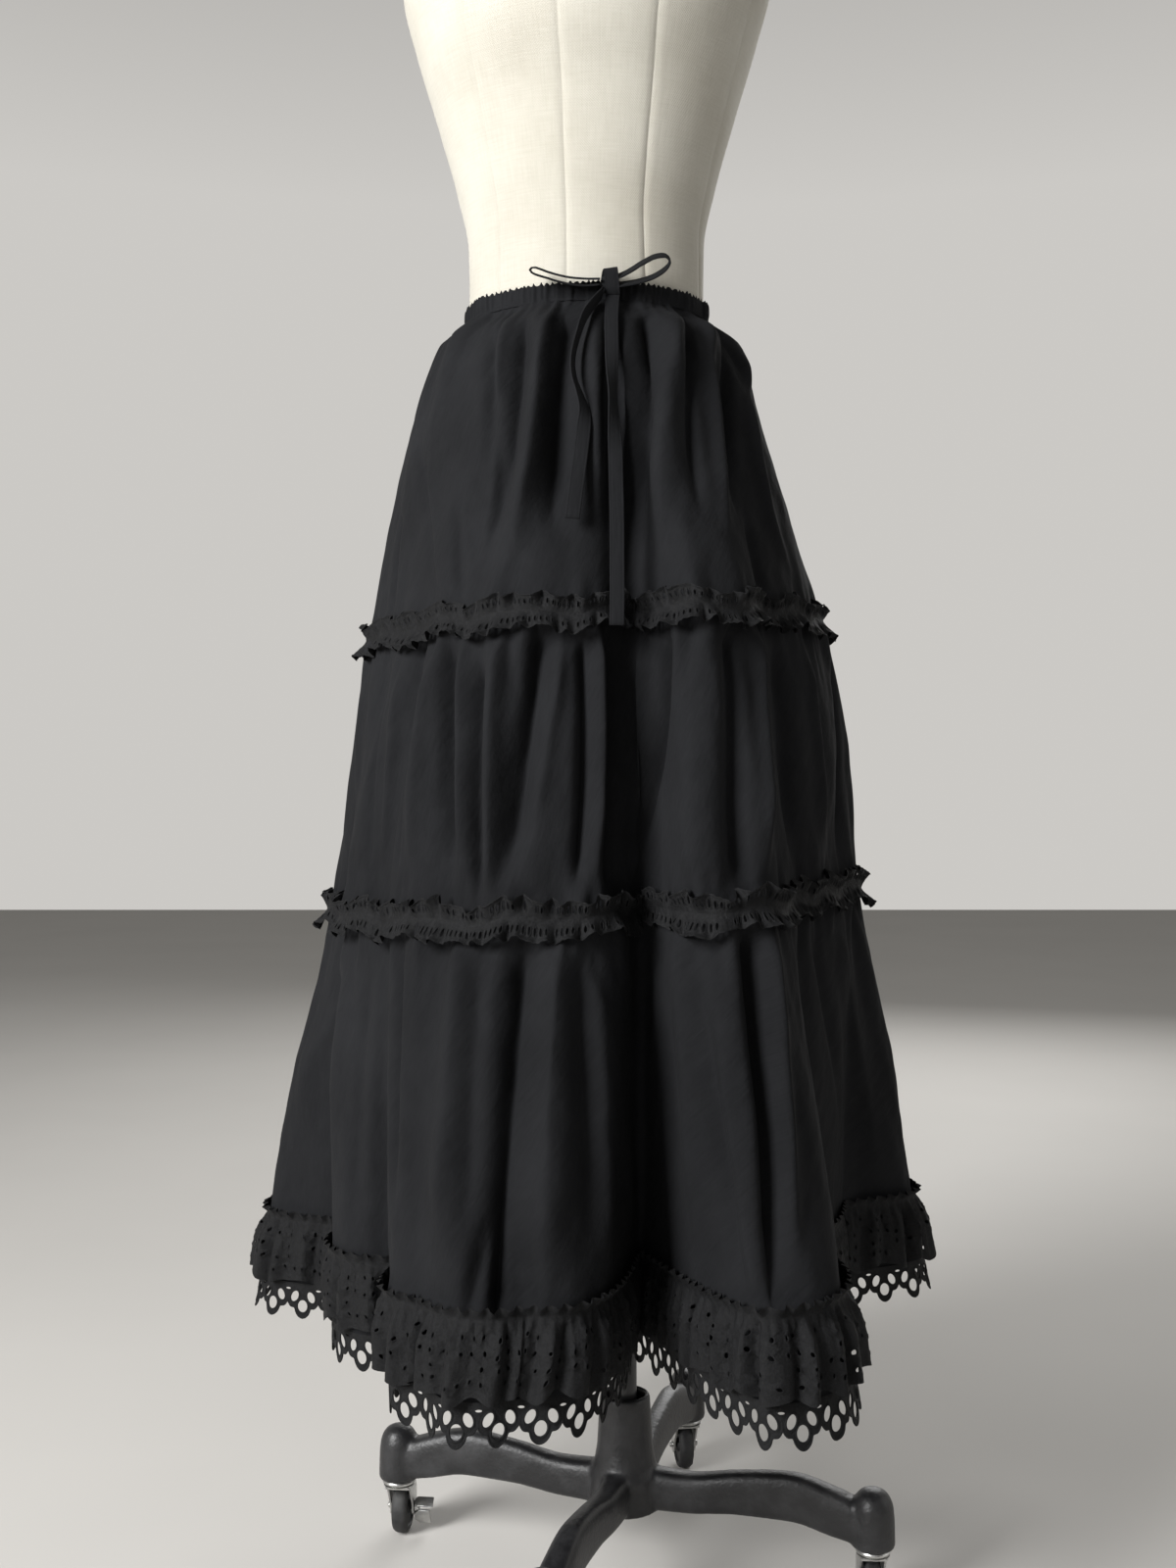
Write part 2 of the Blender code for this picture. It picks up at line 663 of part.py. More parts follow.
def band_mesh(name, centres, widths):
    """A ribbon of quads: a centre line, with its width laid along the given directions."""
    bm = bmesh.new()
    pairs = []
    for centre, width in zip(centres, widths):
        half = width * (BAND_WIDTH / 2)
        pairs.append((bm.verts.new(centre - half), bm.verts.new(centre + half)))
    for near, far in zip(pairs, pairs[1:]):
        bm.faces.new((near[0], near[1], far[1], far[0]))
    return mesh_from(bm, name)


def front_of_cloth(x, z):
    """The y of the unfolded cloth in front of the viewer at a given x."""
    ahead = level_value(z, "front")
    across = level_value(z, "right")
    return SKIRT_Y - ahead * math.sqrt(max(0.0, 1.0 - (x / across) ** 2))


def build_tail(name, points, skin, group):
    """One free end of the drawstring, hanging in front of the top tier."""
    centres = [Vector((p.x + SKIRT_X, front_of_cloth(p.x, p.z) - p.out, p.z)) for p in points]
    widths = [
        Vector((math.cos(math.radians(p.turn_deg)), math.sin(math.radians(p.turn_deg)), 0.0))
        for p in points
    ]
    thing = place(name, band_mesh(name, centres, widths), skin, group)
    thicken(thing, BAND_THICK)
    smooth(thing, CLOTH_SHARP_DEG)


def build_loop(name, points, lean_deg, skin, group):
    """One loop of the bow, standing out of the knot."""
    lean = math.radians(lean_deg)
    across = Vector((0.0, math.cos(lean), math.sin(lean)))
    centres = [KNOT + Vector((p.x + SKIRT_X, p.y + SKIRT_Y, p.z)) for p in points]
    thing = place(name, band_mesh(name, centres, [across] * len(centres)), skin, group)
    thicken(thing, BAND_THICK)
    smooth(thing, CLOTH_SHARP_DEG)


def build_drawstring(skin, group):
    """The bow at centre front: knot, two loops and two free ends."""
    bm = bmesh.new()
    bmesh.ops.create_cube(bm, size=1.0)
    bmesh.ops.scale(bm, vec=KNOT_SIZE, verts=bm.verts)
    knot = place("drawstring_knot", mesh_from(bm, "drawstring_knot"), skin, group)
    knot.location = KNOT + Vector((SKIRT_X, SKIRT_Y, 0.0))
    round_edges = knot.modifiers.new("soft edges", "BEVEL")
    round_edges.width = KNOT_ROUNDING
    round_edges.segments = 2
    smooth(knot, CLOTH_SHARP_DEG)
    build_loop("drawstring_loop_left", LEFT_LOOP, LEFT_LOOP_LEAN_DEG, skin, group)
    build_loop("drawstring_loop_right", RIGHT_LOOP, RIGHT_LOOP_LEAN_DEG, skin, group)
    build_tail("drawstring_tail_left", LEFT_TAIL, skin, group)
    build_tail("drawstring_tail_right", RIGHT_TAIL, skin, group)


# ------------------------------------------------------------------ dress form
def form_section(section):
    """The corners of one level section of the form."""
    corners = []
    for n in range(FORM_SIDES):
        angle = 2.0 * math.pi * n / FORM_SIDES
        side = math.sin(angle) * section.half_width
        ahead = math.cos(angle) * (section.front if math.cos(angle) > 0 else section.back)
        x = side * math.cos(FORM_TURN) + ahead * math.sin(FORM_TURN)
        y = side * math.sin(FORM_TURN) - ahead * math.cos(FORM_TURN)
        corners.append(Vector((SKIRT_X + FORM_X + x, SKIRT_Y + y, section.z)))
    return corners


def build_form(skin, cap_skin, group):
    """The torso, lofted through its sections, and the flat cap on its neck."""
    bm = bmesh.new()
    rings = [[bm.verts.new(corner) for corner in form_section(row)] for row in FORM_SECTIONS]
    for low, high in zip(rings, rings[1:]):
        for n in range(FORM_SIDES):
            m = (n + 1) % FORM_SIDES
            bm.faces.new((low[n], low[m], high[m], high[n]))
    bm.faces.new(rings[0])
    bm.faces.new(rings[-1])
    torso = place("form_torso", mesh_from(bm, "form_torso"), skin, group)
    smooth(torso, FORM_SHARP_DEG)
    bore = ((POLE_HOLE, POLE_TOP + GAP), (POLE_HOLE, POLE_HOLE_FOOT))
    hole = turned("form pole hole", bore, TURNED_SIDES, None, GUIDES)
    cut(torso, hole)
    top = FORM_SECTIONS[-1]
    bm = bmesh.new()
    bmesh.ops.create_cone(
        bm,
        cap_ends=True,
        segments=FORM_SIDES,
        radius1=top.half_width,
        radius2=top.half_width - NECK_CAP_TAPER,
        depth=NECK_CAP_THICK,
        matrix=Matrix.Translation((0, 0, NECK_CAP_THICK / 2)),
    )
    cap = place("form_neck_cap", mesh_from(bm, "form_neck_cap"), cap_skin, group)
    cap.location = (SKIRT_X + FORM_X, SKIRT_Y, top.z + GAP)
    smooth(cap, CAP_SHARP_DEG)


# ------------------------------------------------------------------ stand
def turned(name, profile, sides, skin, group, closed=False):
    """A turned solid about the stand's axis.

    The profile's (radius, z) rows run down its outer side. An open one is capped at the axis.
    """
    rows = list(profile) if closed else [(0.0, profile[0][1]), *profile, (0.0, profile[-1][1])]
    bm = bmesh.new()
    verts = [bm.verts.new((radius, 0.0, z)) for radius, z in rows]
    for near, far in zip(verts, verts[1:]):
        bm.edges.new((near, far))
    if closed:
        bm.edges.new((verts[-1], verts[0]))
    mesh = bpy.data.meshes.new(name)
    bm.to_mesh(mesh)
    bm.free()
    thing = place(name, mesh, skin, group)
    thing.location = (POLE_X, POLE_Y, 0.0)
    screw = thing.modifiers.new("turn", "SCREW")
    screw.steps = sides
    screw.render_steps = sides
    screw.use_merge_vertices = True
    screw.merge_threshold = 1e-5
    return thing


def build_lift(black, steel, group):
    """The gas cylinder in the hub, its thin rod, and the form's pole that turns on the rod."""
    turned(
        "lift_cylinder",
        (
            (CYLINDER_BORE, CYLINDER_TOP),
            (CYLINDER_RADIUS - CYLINDER_SHOULDER[0], CYLINDER_TOP),
            (CYLINDER_RADIUS, CYLINDER_TOP - CYLINDER_SHOULDER[1]),
            (CYLINDER_RADIUS, CYLINDER_FOOT),
            (CYLINDER_BORE, CYLINDER_FOOT),
        ),
        TURNED_SIDES,
        black,
        group,
        closed=True,
    )
    rod_top = POLE_FOOT + ROD_SOCKET
    turned("lift_rod", ((ROD_RADIUS, rod_top), (ROD_RADIUS, ROD_FOOT)), ROD_SIDES, steel, group)
    turned(
        "form_pole",
        (
            (POLE_RADIUS, POLE_TOP),
            (POLE_RADIUS, POLE_FOOT),
            (CYLINDER_BORE, POLE_FOOT),
            (CYLINDER_BORE, rod_top + GAP),
        ),
        TURNED_SIDES,
        black,
        group,
    )


def leg_mesh_into(bm, angle):
    """One arched leg of the casting, as a closed box that follows its stations."""
    along = Vector((math.cos(angle), math.sin(angle), 0.0))
    across = Vector((-along.y, along.x, 0.0)) * (LEG_WIDTH / 2)
    rings = []
    for station in LEG_STATIONS:
        middle = along * station.reach
        corners = (
            middle - across + Vector((0, 0, station.foot)),
            middle + across + Vector((0, 0, station.foot)),
            middle + across + Vector((0, 0, station.top - LEG_CHAMFER)),
            middle + across * LEG_BACK_SHARE + Vector((0, 0, station.top)),
            middle - across * LEG_BACK_SHARE + Vector((0, 0, station.top)),
            middle - across + Vector((0, 0, station.top - LEG_CHAMFER)),
        )
        rings.append([bm.verts.new(corner) for corner in corners])
    for near, far in zip(rings, rings[1:]):
        for n in range(len(near)):
            m = (n + 1) % len(near)
            bm.faces.new((near[n], near[m], far[m], far[n]))
    bm.faces.new(rings[0])
    bm.faces.new(rings[-1])


def leg_angles():
    """The legs' directions in plan, from +X."""
    return [math.radians(FIRST_LEG_DEG + 360.0 * n / LEG_COUNT) for n in range(LEG_COUNT)]


def build_base(skin, group):
    """The casting: a tapered hub, arched legs and a domed caster housing at each end."""
    hub = turned("stand_base", HUB_PROFILE, HUB_SIDES, skin, group)
    for n, angle in enumerate(leg_angles()):
        bm = bmesh.new()
        leg_mesh_into(bm, angle)
        leg = guide(f"leg guide {n + 1}", bm)
        leg.location = (POLE_X, POLE_Y, 0.0)
        cut(hub, leg, "UNION")
        knob = turned(f"knob guide {n + 1}", KNOB_PROFILE, KNOB_SIDES, None, GUIDES)
        knob.location = caster_axis(angle)
        cut(hub, knob, "UNION")
    socket = turned(
        "hub bore guide",
        (
            (SOCKET_RADIUS, HUB_TOP + CUTTER_REACH),
            (SOCKET_RADIUS, SOCKET_FLOOR),
            (CYLINDER_RADIUS + GAP, SOCKET_CONE_FOOT),
            (CYLINDER_RADIUS + GAP, 0.0),
        ),
        TURNED_SIDES,
        None,
        GUIDES,
    )
    cut(hub, socket)


def caster_axis(angle):
    """Where a caster's swivel axis meets the floor."""
    return Vector(
        (POLE_X + LEG_REACH * math.cos(angle), POLE_Y + LEG_REACH * math.sin(angle), 0.0)
    )


def box_into(bm, size, centre):
    """Add a box of the given size round a centre."""
    made = bmesh.ops.create_cube(bm, size=1.0)["verts"]
    bmesh.ops.scale(bm, vec=size, verts=made)
    bmesh.ops.translate(bm, vec=centre, verts=made)


def disc_into(bm, sides, radius_low, radius_high, length, where):
    """Add a cylinder or cone, placed by a matrix."""
    bmesh.ops.create_cone(
        bm,
        cap_ends=True,
        segments=sides,
        radius1=radius_low,
        radius2=radius_high,
        depth=length,
        matrix=where,
    )


def guide(name, bm):
    """A hidden solid that joins or cuts another."""
    return place(name, mesh_from(bm, name), None, GUIDES)


def build_caster(number, stand, zinc, group):
    """A swivelling fork: bearing disc, bridge, two cheeks and the wheel's axle."""
    top = KNOB_FOOT - GAP
    bm = bmesh.new()
    where = Matrix.Translation((0, 0, top - RACE.thick / 2))
    disc_into(bm, RACE.sides, RACE.radius_low, RACE.radius_high, RACE.thick, where)
    fork = place(f"caster_{number}", mesh_from(bm, f"caster_{number}"), zinc, group)
    bridge_middle = (BRIDGE.ahead, 0, top - BRIDGE.below)
    boxes = [((BRIDGE.long, 2 * CHEEK_OUT, BRIDGE.tall), bridge_middle)]
    for side in (-1, 1):
        middle = (CHEEK_PLATE.ahead, side * (CHEEK_OUT - 0.5 * CHEEK), top - CHEEK_PLATE.below)
        boxes.append(((CHEEK_PLATE.long, CHEEK, CHEEK_PLATE.tall), middle))
    pieces = []
    for size, centre in boxes:
        bm = bmesh.new()
        box_into(bm, size, centre)
        pieces.append(guide(f"fork guide {number}.{len(pieces) + 1}", bm))
    bm = bmesh.new()
    disc_into(bm, AXLE_SIDES, AXLE_RADIUS, AXLE_RADIUS, 2 * AXLE_END, axle_place())
    pieces.append(guide(f"axle guide {number}", bm))
    fork.matrix_world = stand
    for piece in pieces:
        piece.matrix_world = stand
        cut(fork, piece, "UNION")


def axle_place():
    """Where the wheel's axle lies in its fork: a turned shape's Z goes across the fork."""
    return Matrix.Translation((CASTER_TRAIL, 0, WHEEL_RADIUS)) @ Matrix.Rotation(math.pi / 2, 4, "X")


def build_wheel(number, stand, rubber, group):
    """A wheel with a rounded tread, one flat of it on the floor."""
    half = WHEEL_WIDTH / 2
    side_rows = (
        (AXLE_RADIUS + GAP, half),
        (WHEEL_RADIUS - TREAD_CORNER[0], half),
        (WHEEL_RADIUS, half - TREAD_CORNER[1]),
    )
    stretch = 1.0 / math.cos(math.pi / WHEEL_SIDES)
    rows = [*side_rows, *[(radius, -z) for radius, z in reversed(side_rows)]]
    profile = [(radius * stretch, z) for radius, z in rows]
    wheel = turned(f"wheel_{number}", profile, WHEEL_SIDES, rubber, group, closed=True)
    flat_down = Matrix.Rotation(math.pi / 2 + math.pi / WHEEL_SIDES, 4, "Z")
    wheel.matrix_world = stand @ axle_place() @ flat_down


def build_pedal(stand, zinc, group):
    """The brake's rocker on the axle's end: a collar with a leaf to step on above and below."""
    start = CHEEK_OUT + GAP
    bore = AXLE_RADIUS + GAP
    collar = turned(
        "brake_pedal",
        (
            (bore, start + PEDAL_COLLAR),
            (PEDAL_COLLAR_RADIUS, start + PEDAL_COLLAR),
            (PEDAL_COLLAR_RADIUS, start),
            (bore, start),
        ),
        PEDAL_SIDES,
        zinc,
        group,
        closed=True,
    )
    collar.matrix_world = stand @ axle_place()
    for leaf in PEDAL_LEAVES:
        bm = bmesh.new()
        centre = (leaf.high, leaf.slide, start + 0.5 * leaf.long)
        box_into(bm, (leaf.thick, leaf.wide, leaf.long), centre)
        bmesh.ops.rotate(
            bm,
            cent=(0, 0, 0),
            matrix=Matrix.Rotation(math.radians(leaf.turn_deg), 3, "Z"),
            verts=bm.verts,
        )
        piece = guide(f"pedal leaf guide {leaf.turn_deg}", bm)
        piece.matrix_world = stand @ axle_place()
        cut(collar, piece, "UNION")


def build_stand(black, steel, zinc, rubber, group):
    """The lift, the casting, its four casters and the brake on one of them."""
    build_lift(black, steel, group)
    build_base(black, group)
    for n, angle in enumerate(leg_angles()):
        turn = Matrix.Rotation(math.radians(CASTER_TURNS_DEG[n]), 4, "Z")
        stand = Matrix.Translation(caster_axis(angle)) @ turn
        build_caster(n + 1, stand, zinc, group)
        build_wheel(n + 1, stand, rubber, group)
        if n + 1 == BRAKED_CASTER:
            build_pedal(stand, zinc, group)


def centre_on_floor(collections):
    """Shift everything level, so that the origin is the middle of the parts' footprint."""
    bpy.context.view_layer.update()
    graph = bpy.context.evaluated_depsgraph_get()
    corners = []
    for thing in collections[0].objects:
        shape = thing.evaluated_get(graph)
        mesh = shape.to_mesh()
        corners += [thing.matrix_world @ vert.co for vert in mesh.vertices]
        shape.to_mesh_clear()
    middle_x = 0.5 * (min(c.x for c in corners) + max(c.x for c in corners))
    middle_y = 0.5 * (min(c.y for c in corners) + max(c.y for c in corners))
    shift = Matrix.Translation((-middle_x, -middle_y, 0.0))
    for group in collections:
        for thing in group.objects:
            thing.matrix_world = shift @ thing.matrix_world


clear_scene()
PARTS = new_collection("tiered_skirt_on_form")
GUIDES = new_collection("cutters")


def main():
    """Build the skirt, the form and the stand."""
    cotton = material("black_cotton", (0.018, 0.018, 0.020), 0.85)
    lace = material("black_cutwork", (0.014, 0.014, 0.016), 0.8)
    canvas = material("ivory_canvas", (0.72, 0.69, 0.60), 0.9)
    cap = material("black_cap", (0.03, 0.03, 0.03), 0.5)
    black = material("black_paint", (0.022, 0.022, 0.023), 0.5)
    steel = material("black_steel", (0.03, 0.03, 0.03), 0.35, 0.6)
    zinc = material("zinc", (0.55, 0.55, 0.54), 0.35, 1.0)
    rubber = material("black_rubber", (0.03, 0.03, 0.03), 0.6)
    build_tiers(cotton, PARTS)
    build_trims(cotton, PARTS)
    build_hem_lace(lace, PARTS)
    build_drawstring(cotton, PARTS)
    build_form(canvas, cap, PARTS)
    build_stand(black, steel, zinc, rubber, PARTS)
    centre_on_floor((PARTS, GUIDES))


main()
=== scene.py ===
"""Looks of a tiered black cotton skirt on a dress form with a wheeled stand.

Metres, +Z up. The viewer stands at -Y with +X to the right. The skirt's own frame, in which the
sizes below are written, has its axis at X = Y = 0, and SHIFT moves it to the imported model.
"""

from __future__ import annotations

import sys
import logging
import math
from dataclasses import dataclass
from enum import Enum
from typing import Callable, Sequence

import bmesh
import bpy
import numpy as np
from mathutils import Matrix, Vector


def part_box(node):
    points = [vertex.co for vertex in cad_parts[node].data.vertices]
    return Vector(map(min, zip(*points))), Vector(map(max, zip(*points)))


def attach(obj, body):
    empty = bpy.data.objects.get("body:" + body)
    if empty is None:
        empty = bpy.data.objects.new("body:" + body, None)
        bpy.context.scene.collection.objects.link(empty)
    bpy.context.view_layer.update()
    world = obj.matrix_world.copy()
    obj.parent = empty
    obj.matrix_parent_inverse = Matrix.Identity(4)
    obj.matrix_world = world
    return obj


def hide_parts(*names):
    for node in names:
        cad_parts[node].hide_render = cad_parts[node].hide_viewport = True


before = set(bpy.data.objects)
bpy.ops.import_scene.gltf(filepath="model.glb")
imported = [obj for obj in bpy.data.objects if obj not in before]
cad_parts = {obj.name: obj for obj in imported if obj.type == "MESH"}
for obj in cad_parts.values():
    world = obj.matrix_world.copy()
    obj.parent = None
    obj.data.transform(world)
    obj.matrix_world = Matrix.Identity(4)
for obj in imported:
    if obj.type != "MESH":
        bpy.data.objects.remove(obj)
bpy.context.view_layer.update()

LOG = logging.getLogger("tiered_skirt")
Array = np.ndarray
Piece = bpy.types.Object
Material = bpy.types.Material
Socket = bpy.types.NodeSocket
Pair = tuple[float, float]
Triple = tuple[float, float, float]
MM = 0.001

# ------------------------------------------------------------------ places shared with the solids
POLE_X = 0.035  # the stand's axis, seen from the skirt's
WAIST_TOP = 1.197
CASING_FOOT = 1.184
SEAM_1 = 0.893
SEAM_2 = 0.644
FLOUNCE_HEADING = 0.348
HEM_TIP = 0.254
LACE_HEIGHT = 0.0335
CLOTH_FOOT = HEM_TIP + LACE_HEIGHT
SQUEEZE_DEPTH = 0.10  # a valley this deep halves the gathers in it
CAMERA_HEIGHT = 0.750
CAMERA_BACK = 1.515  # from the skirt's axis


def frame_shift() -> Vector:
    """The move from the skirt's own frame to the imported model, read from the lift's rod."""
    low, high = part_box("lift_rod")
    return Vector((0.5 * (low.x + high.x) - POLE_X, 0.5 * (low.y + high.y), 0.0))


SHIFT = frame_shift()
TO_MODEL = Matrix.Translation(SHIFT)
AT_POLE = Matrix.Translation((POLE_X, 0, 0))


@dataclass(frozen=True)
class Level:
    """The unfolded cloth at one height: half sizes, the turn of its ellipse and its slope."""

    z: float
    left: float
    right: float
    front: float
    back: float
    turn_deg: float
    rise: float


LEVELS = (
    Level(1.197, 0.1165, 0.1125, 0.0915, 0.0915, -10, 0.000),
    Level(1.184, 0.1170, 0.1130, 0.0925, 0.0925, -10, 0.000),
    Level(1.160, 0.1430, 0.1410, 0.1140, 0.1140, -8, 0.000),
    Level(1.080, 0.1700, 0.1680, 0.1500, 0.1500, -6, 0.002),
    Level(0.985, 0.1900, 0.1970, 0.1780, 0.1780, -3, 0.004),
    Level(0.893, 0.2090, 0.2220, 0.2050, 0.2050, 0, 0.009),
    Level(0.770, 0.2300, 0.2460, 0.2270, 0.2250, 0, 0.009),
    Level(0.644, 0.2460, 0.2560, 0.2450, 0.2400, 0, 0.011),
    Level(0.480, 0.2840, 0.2870, 0.2700, 0.2700, 0, 0.009),
    Level(0.348, 0.3040, 0.3040, 0.2850, 0.2850, 0, 0.007),
    Level(0.254, 0.3180, 0.3200, 0.2920, 0.2920, 0, 0.006),
)


@dataclass(frozen=True)
class Fold:
    """A large fold's crest or valley: bearings above and at the hem, and mm out at three heights."""

    name: str
    top_deg: float
    hem_deg: float
    seam_1: float
    seam_2: float
    hem: float


FOLDS = (
    Fold("left side", -95, -97, 0, 0, 4),
    Fold("left valley", -76, -80, -12, -22, -108),
    Fold("left lobe", -62, -56, -18, -6, -58),
    Fold("left inner valley", -50, -42, -16, -14, -84),
    Fold("front left shoulder", -33, -25, -4, 0, 14),
    Fold("front left lobe", -16, -16, 6, 8, 41),
    Fold("front left edge", -4, -10, -2, 2, 27),
    Fold("deep valley", 13, 16, -34, -50, -140),
    Fold("front right lobe", 26, 24, 20, 22, 74),
    Fold("right valley", 50, 56, -14, -18, -78),
    Fold("right inner valley", 76, 84, -10, -18, -84),
    Fold("right side", 96, 99, 0, 2, 16),
    Fold("back valley 1", 118, 118, -8, -12, -62),
    Fold("back lobe 1", 138, 138, 4, 8, 32),
    Fold("back valley 2", 158, 157, -10, -14, -60),
    Fold("back centre lobe", 180, 180, 4, 8, 48),
    Fold("back valley 3", 203, 203, -8, -12, -54),
    Fold("back lobe 3", 226, 226, 4, 8, 34),
    Fold("back valley 4", 245, 246, -8, -12, -64),
)
LOBE_BREADTH = 1.5  # above 1, crests are broad and valleys narrow
LEFT_SEAM = 0
RIGHT_SEAM = 11
WHOLE_RING = len(FOLDS)


# ------------------------------------------------------------------ numbers and meshes
class SmoothLine:
    """A curve through given points with no overshoot between them (a monotone cubic)."""

    def __init__(self, places: Sequence[float], values: Sequence[float]) -> None:
        """Work out the slopes.

        Args:
            places: Rising places of the points.
            values: The curve's value at each.
        """
        self.places = np.asarray(places, float)
        self.values = np.asarray(values, float)
        steps = np.diff(self.places)
        rates = np.diff(self.values) / steps
        inner = np.zeros(len(rates) - 1)
        same = rates[:-1] * rates[1:] > 0
        inner[same] = 2.0 / (1.0 / rates[:-1][same] + 1.0 / rates[1:][same])
        self.slopes = np.concatenate(([rates[0]], inner, [rates[-1]]))

    def at(self, where: Array) -> Array:
        """Read the curve.

        Args:
            where: Places to read it at. Beyond the ends it keeps its end value.

        Returns:
            The values there.
        """
        x = np.clip(where, self.places[0], self.places[-1])
        n = np.clip(np.searchsorted(self.places, x) - 1, 0, len(self.places) - 2)
        width = self.places[n + 1] - self.places[n]
        t = (x - self.places[n]) / width
        low, high = self.values[n], self.values[n + 1]
        rise = t * t * (3 - 2 * t)
        near = self.slopes[n] * width * t * (1 - t) ** 2
        far = self.slopes[n + 1] * width * t * t * (t - 1)
        return low + (high - low) * rise + near + far


def eased(share: Array) -> Array:
    """Ease a share in and out, from 0 to 1."""
    share = np.clip(share, 0.0, 1.0)
    return share * share * (3.0 - 2.0 * share)


def fold_out(out_a: Array, out_b: Array, share: Array) -> Array:
    """How far the cloth stands out on its way from one fold to the next."""
    falling = out_a >= out_b
    reach = np.where(falling, share, 1.0 - share)
    down = eased(reach**LOBE_BREADTH)
    return np.where(falling, out_a + (out_b - out_a) * down, out_b + (out_a - out_b) * down)


def flutter(along: Array, girth: Array | float, waves: int, seed: int) -> Array:
    """An uneven wave that closes on itself round a ring.

    Args:
        along: Length round the ring.
        girth: The ring's whole length.
        waves: About how many waves go round.
        seed: Which of the possible waves this is.

    Returns:
        The wave, from about -1 to 1, at each place.
    """
    draw = np.random.default_rng(seed)
    turn = 2.0 * np.pi * along / girth
    drift = np.zeros_like(turn)
    swell = np.ones_like(turn)
    for n in range(3, max(4, waves // 3), max(1, waves // 12)):
        drift = drift + draw.uniform(0.15, 0.5) * np.sin(n * turn + draw.uniform(0, 6.28))
        swell = swell + draw.uniform(-0.16, 0.16) * np.sin((n + 1) * turn + draw.uniform(0, 6.28))
    side = np.sin(round(waves * 1.62) * turn + drift * 1.7 + draw.uniform(0, 6.28))
    return swell * (0.78 * np.sin(waves * turn + drift * 2.2) + 0.34 * side)


def ripple(along: Array, down: Array, girth: Array | float, size: float, seed: int) -> Array:
    """Soft uneven ground over a whole tier, closing on itself round the ring.

    Args:
        along: Length round the ring.
        down: Height.
        girth: The ring's whole length.
        size: About how far apart its swells lie.
        seed: Which of the possible grounds this is.

    Returns:
        The ground, from about -1 to 1.
    """
    draw = np.random.default_rng(seed)
    total = np.zeros(np.broadcast(along, down).shape)
    for _ in range(9):
        rounds = max(1, round(float(np.mean(girth)) / (size * draw.uniform(0.7, 1.6))))
        pitch = size * draw.uniform(1.6, 4.0) * draw.choice((-1.0, 1.0))
        turn = 2 * np.pi * (rounds * along / girth + down / pitch) + draw.uniform(0, 6.28)
        total = total + np.sin(turn) / 3.0
    return total


def make_mesh(name: str, points: Array, faces: Sequence, weave: Array | None = None) -> Piece:
    """Link a smooth-shaded mesh, moved from the skirt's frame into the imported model's.

    Args:
        name: The piece's name.
        points: Its points, N by 3, in the skirt's frame.
        faces: Corner numbers of each face.
        weave: Metres along and across the cloth at each point, for its weave.

    Returns:
        The new object.
    """
    mesh = bpy.data.meshes.new(name)
    moved = np.asarray(points, float) + np.array(SHIFT)
    mesh.from_pydata(moved.tolist(), [], [list(map(int, face)) for face in faces])
    if weave is not None:
        corners = np.empty(len(mesh.loops), dtype=np.int32)
        mesh.loops.foreach_get("vertex_index", corners)
        layer = mesh.uv_layers.new(name="weave")
        layer.data.foreach_set("uv", np.asarray(weave, np.float32)[corners].ravel())
    mesh.shade_smooth()
    thing = bpy.data.objects.new(name, mesh)
    bpy.context.scene.collection.objects.link(thing)
    return thing


def grid_faces(rows: int, columns: int, closed: bool = False) -> list[tuple[int, int, int, int]]:
    """Quads over a grid whose points are numbered row by row.

    Args:
        rows: Points down it.
        columns: Points along it.
        closed: Whether the last column joins the first.

    Returns:
        The quads, facing out where rows run down and columns run to the viewer's right.
    """
    span = columns if closed else columns - 1
    row, column = np.meshgrid(np.arange(rows - 1), np.arange(span), indexing="ij")
    following = (column + 1) % columns
    here, under = row * columns, (row + 1) * columns
    quads = np.stack((here + column, under + column, under + following, here + following), axis=-1)
    return quads.reshape(-1, 4).tolist()


def put_in_scene(
    thing: Piece, body: str, finish: Material, nodes: Sequence[str] = ()
) -> Piece:
    """Give a piece its finish, its body and the nodes it stands for, and report it.

    Args:
        thing: The piece.
        body: The body that it moves with.
        finish: Its material.
        nodes: CAD nodes that it replaces.

    Returns:
        The same piece.
    """
    thing.data.materials.clear()
    thing.data.materials.append(finish)
    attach(thing, body)
    if nodes:
        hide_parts(*nodes)
    LOG.info("%s: %d faces, rides on %s", thing.name, len(thing.data.polygons), body)
    return thing


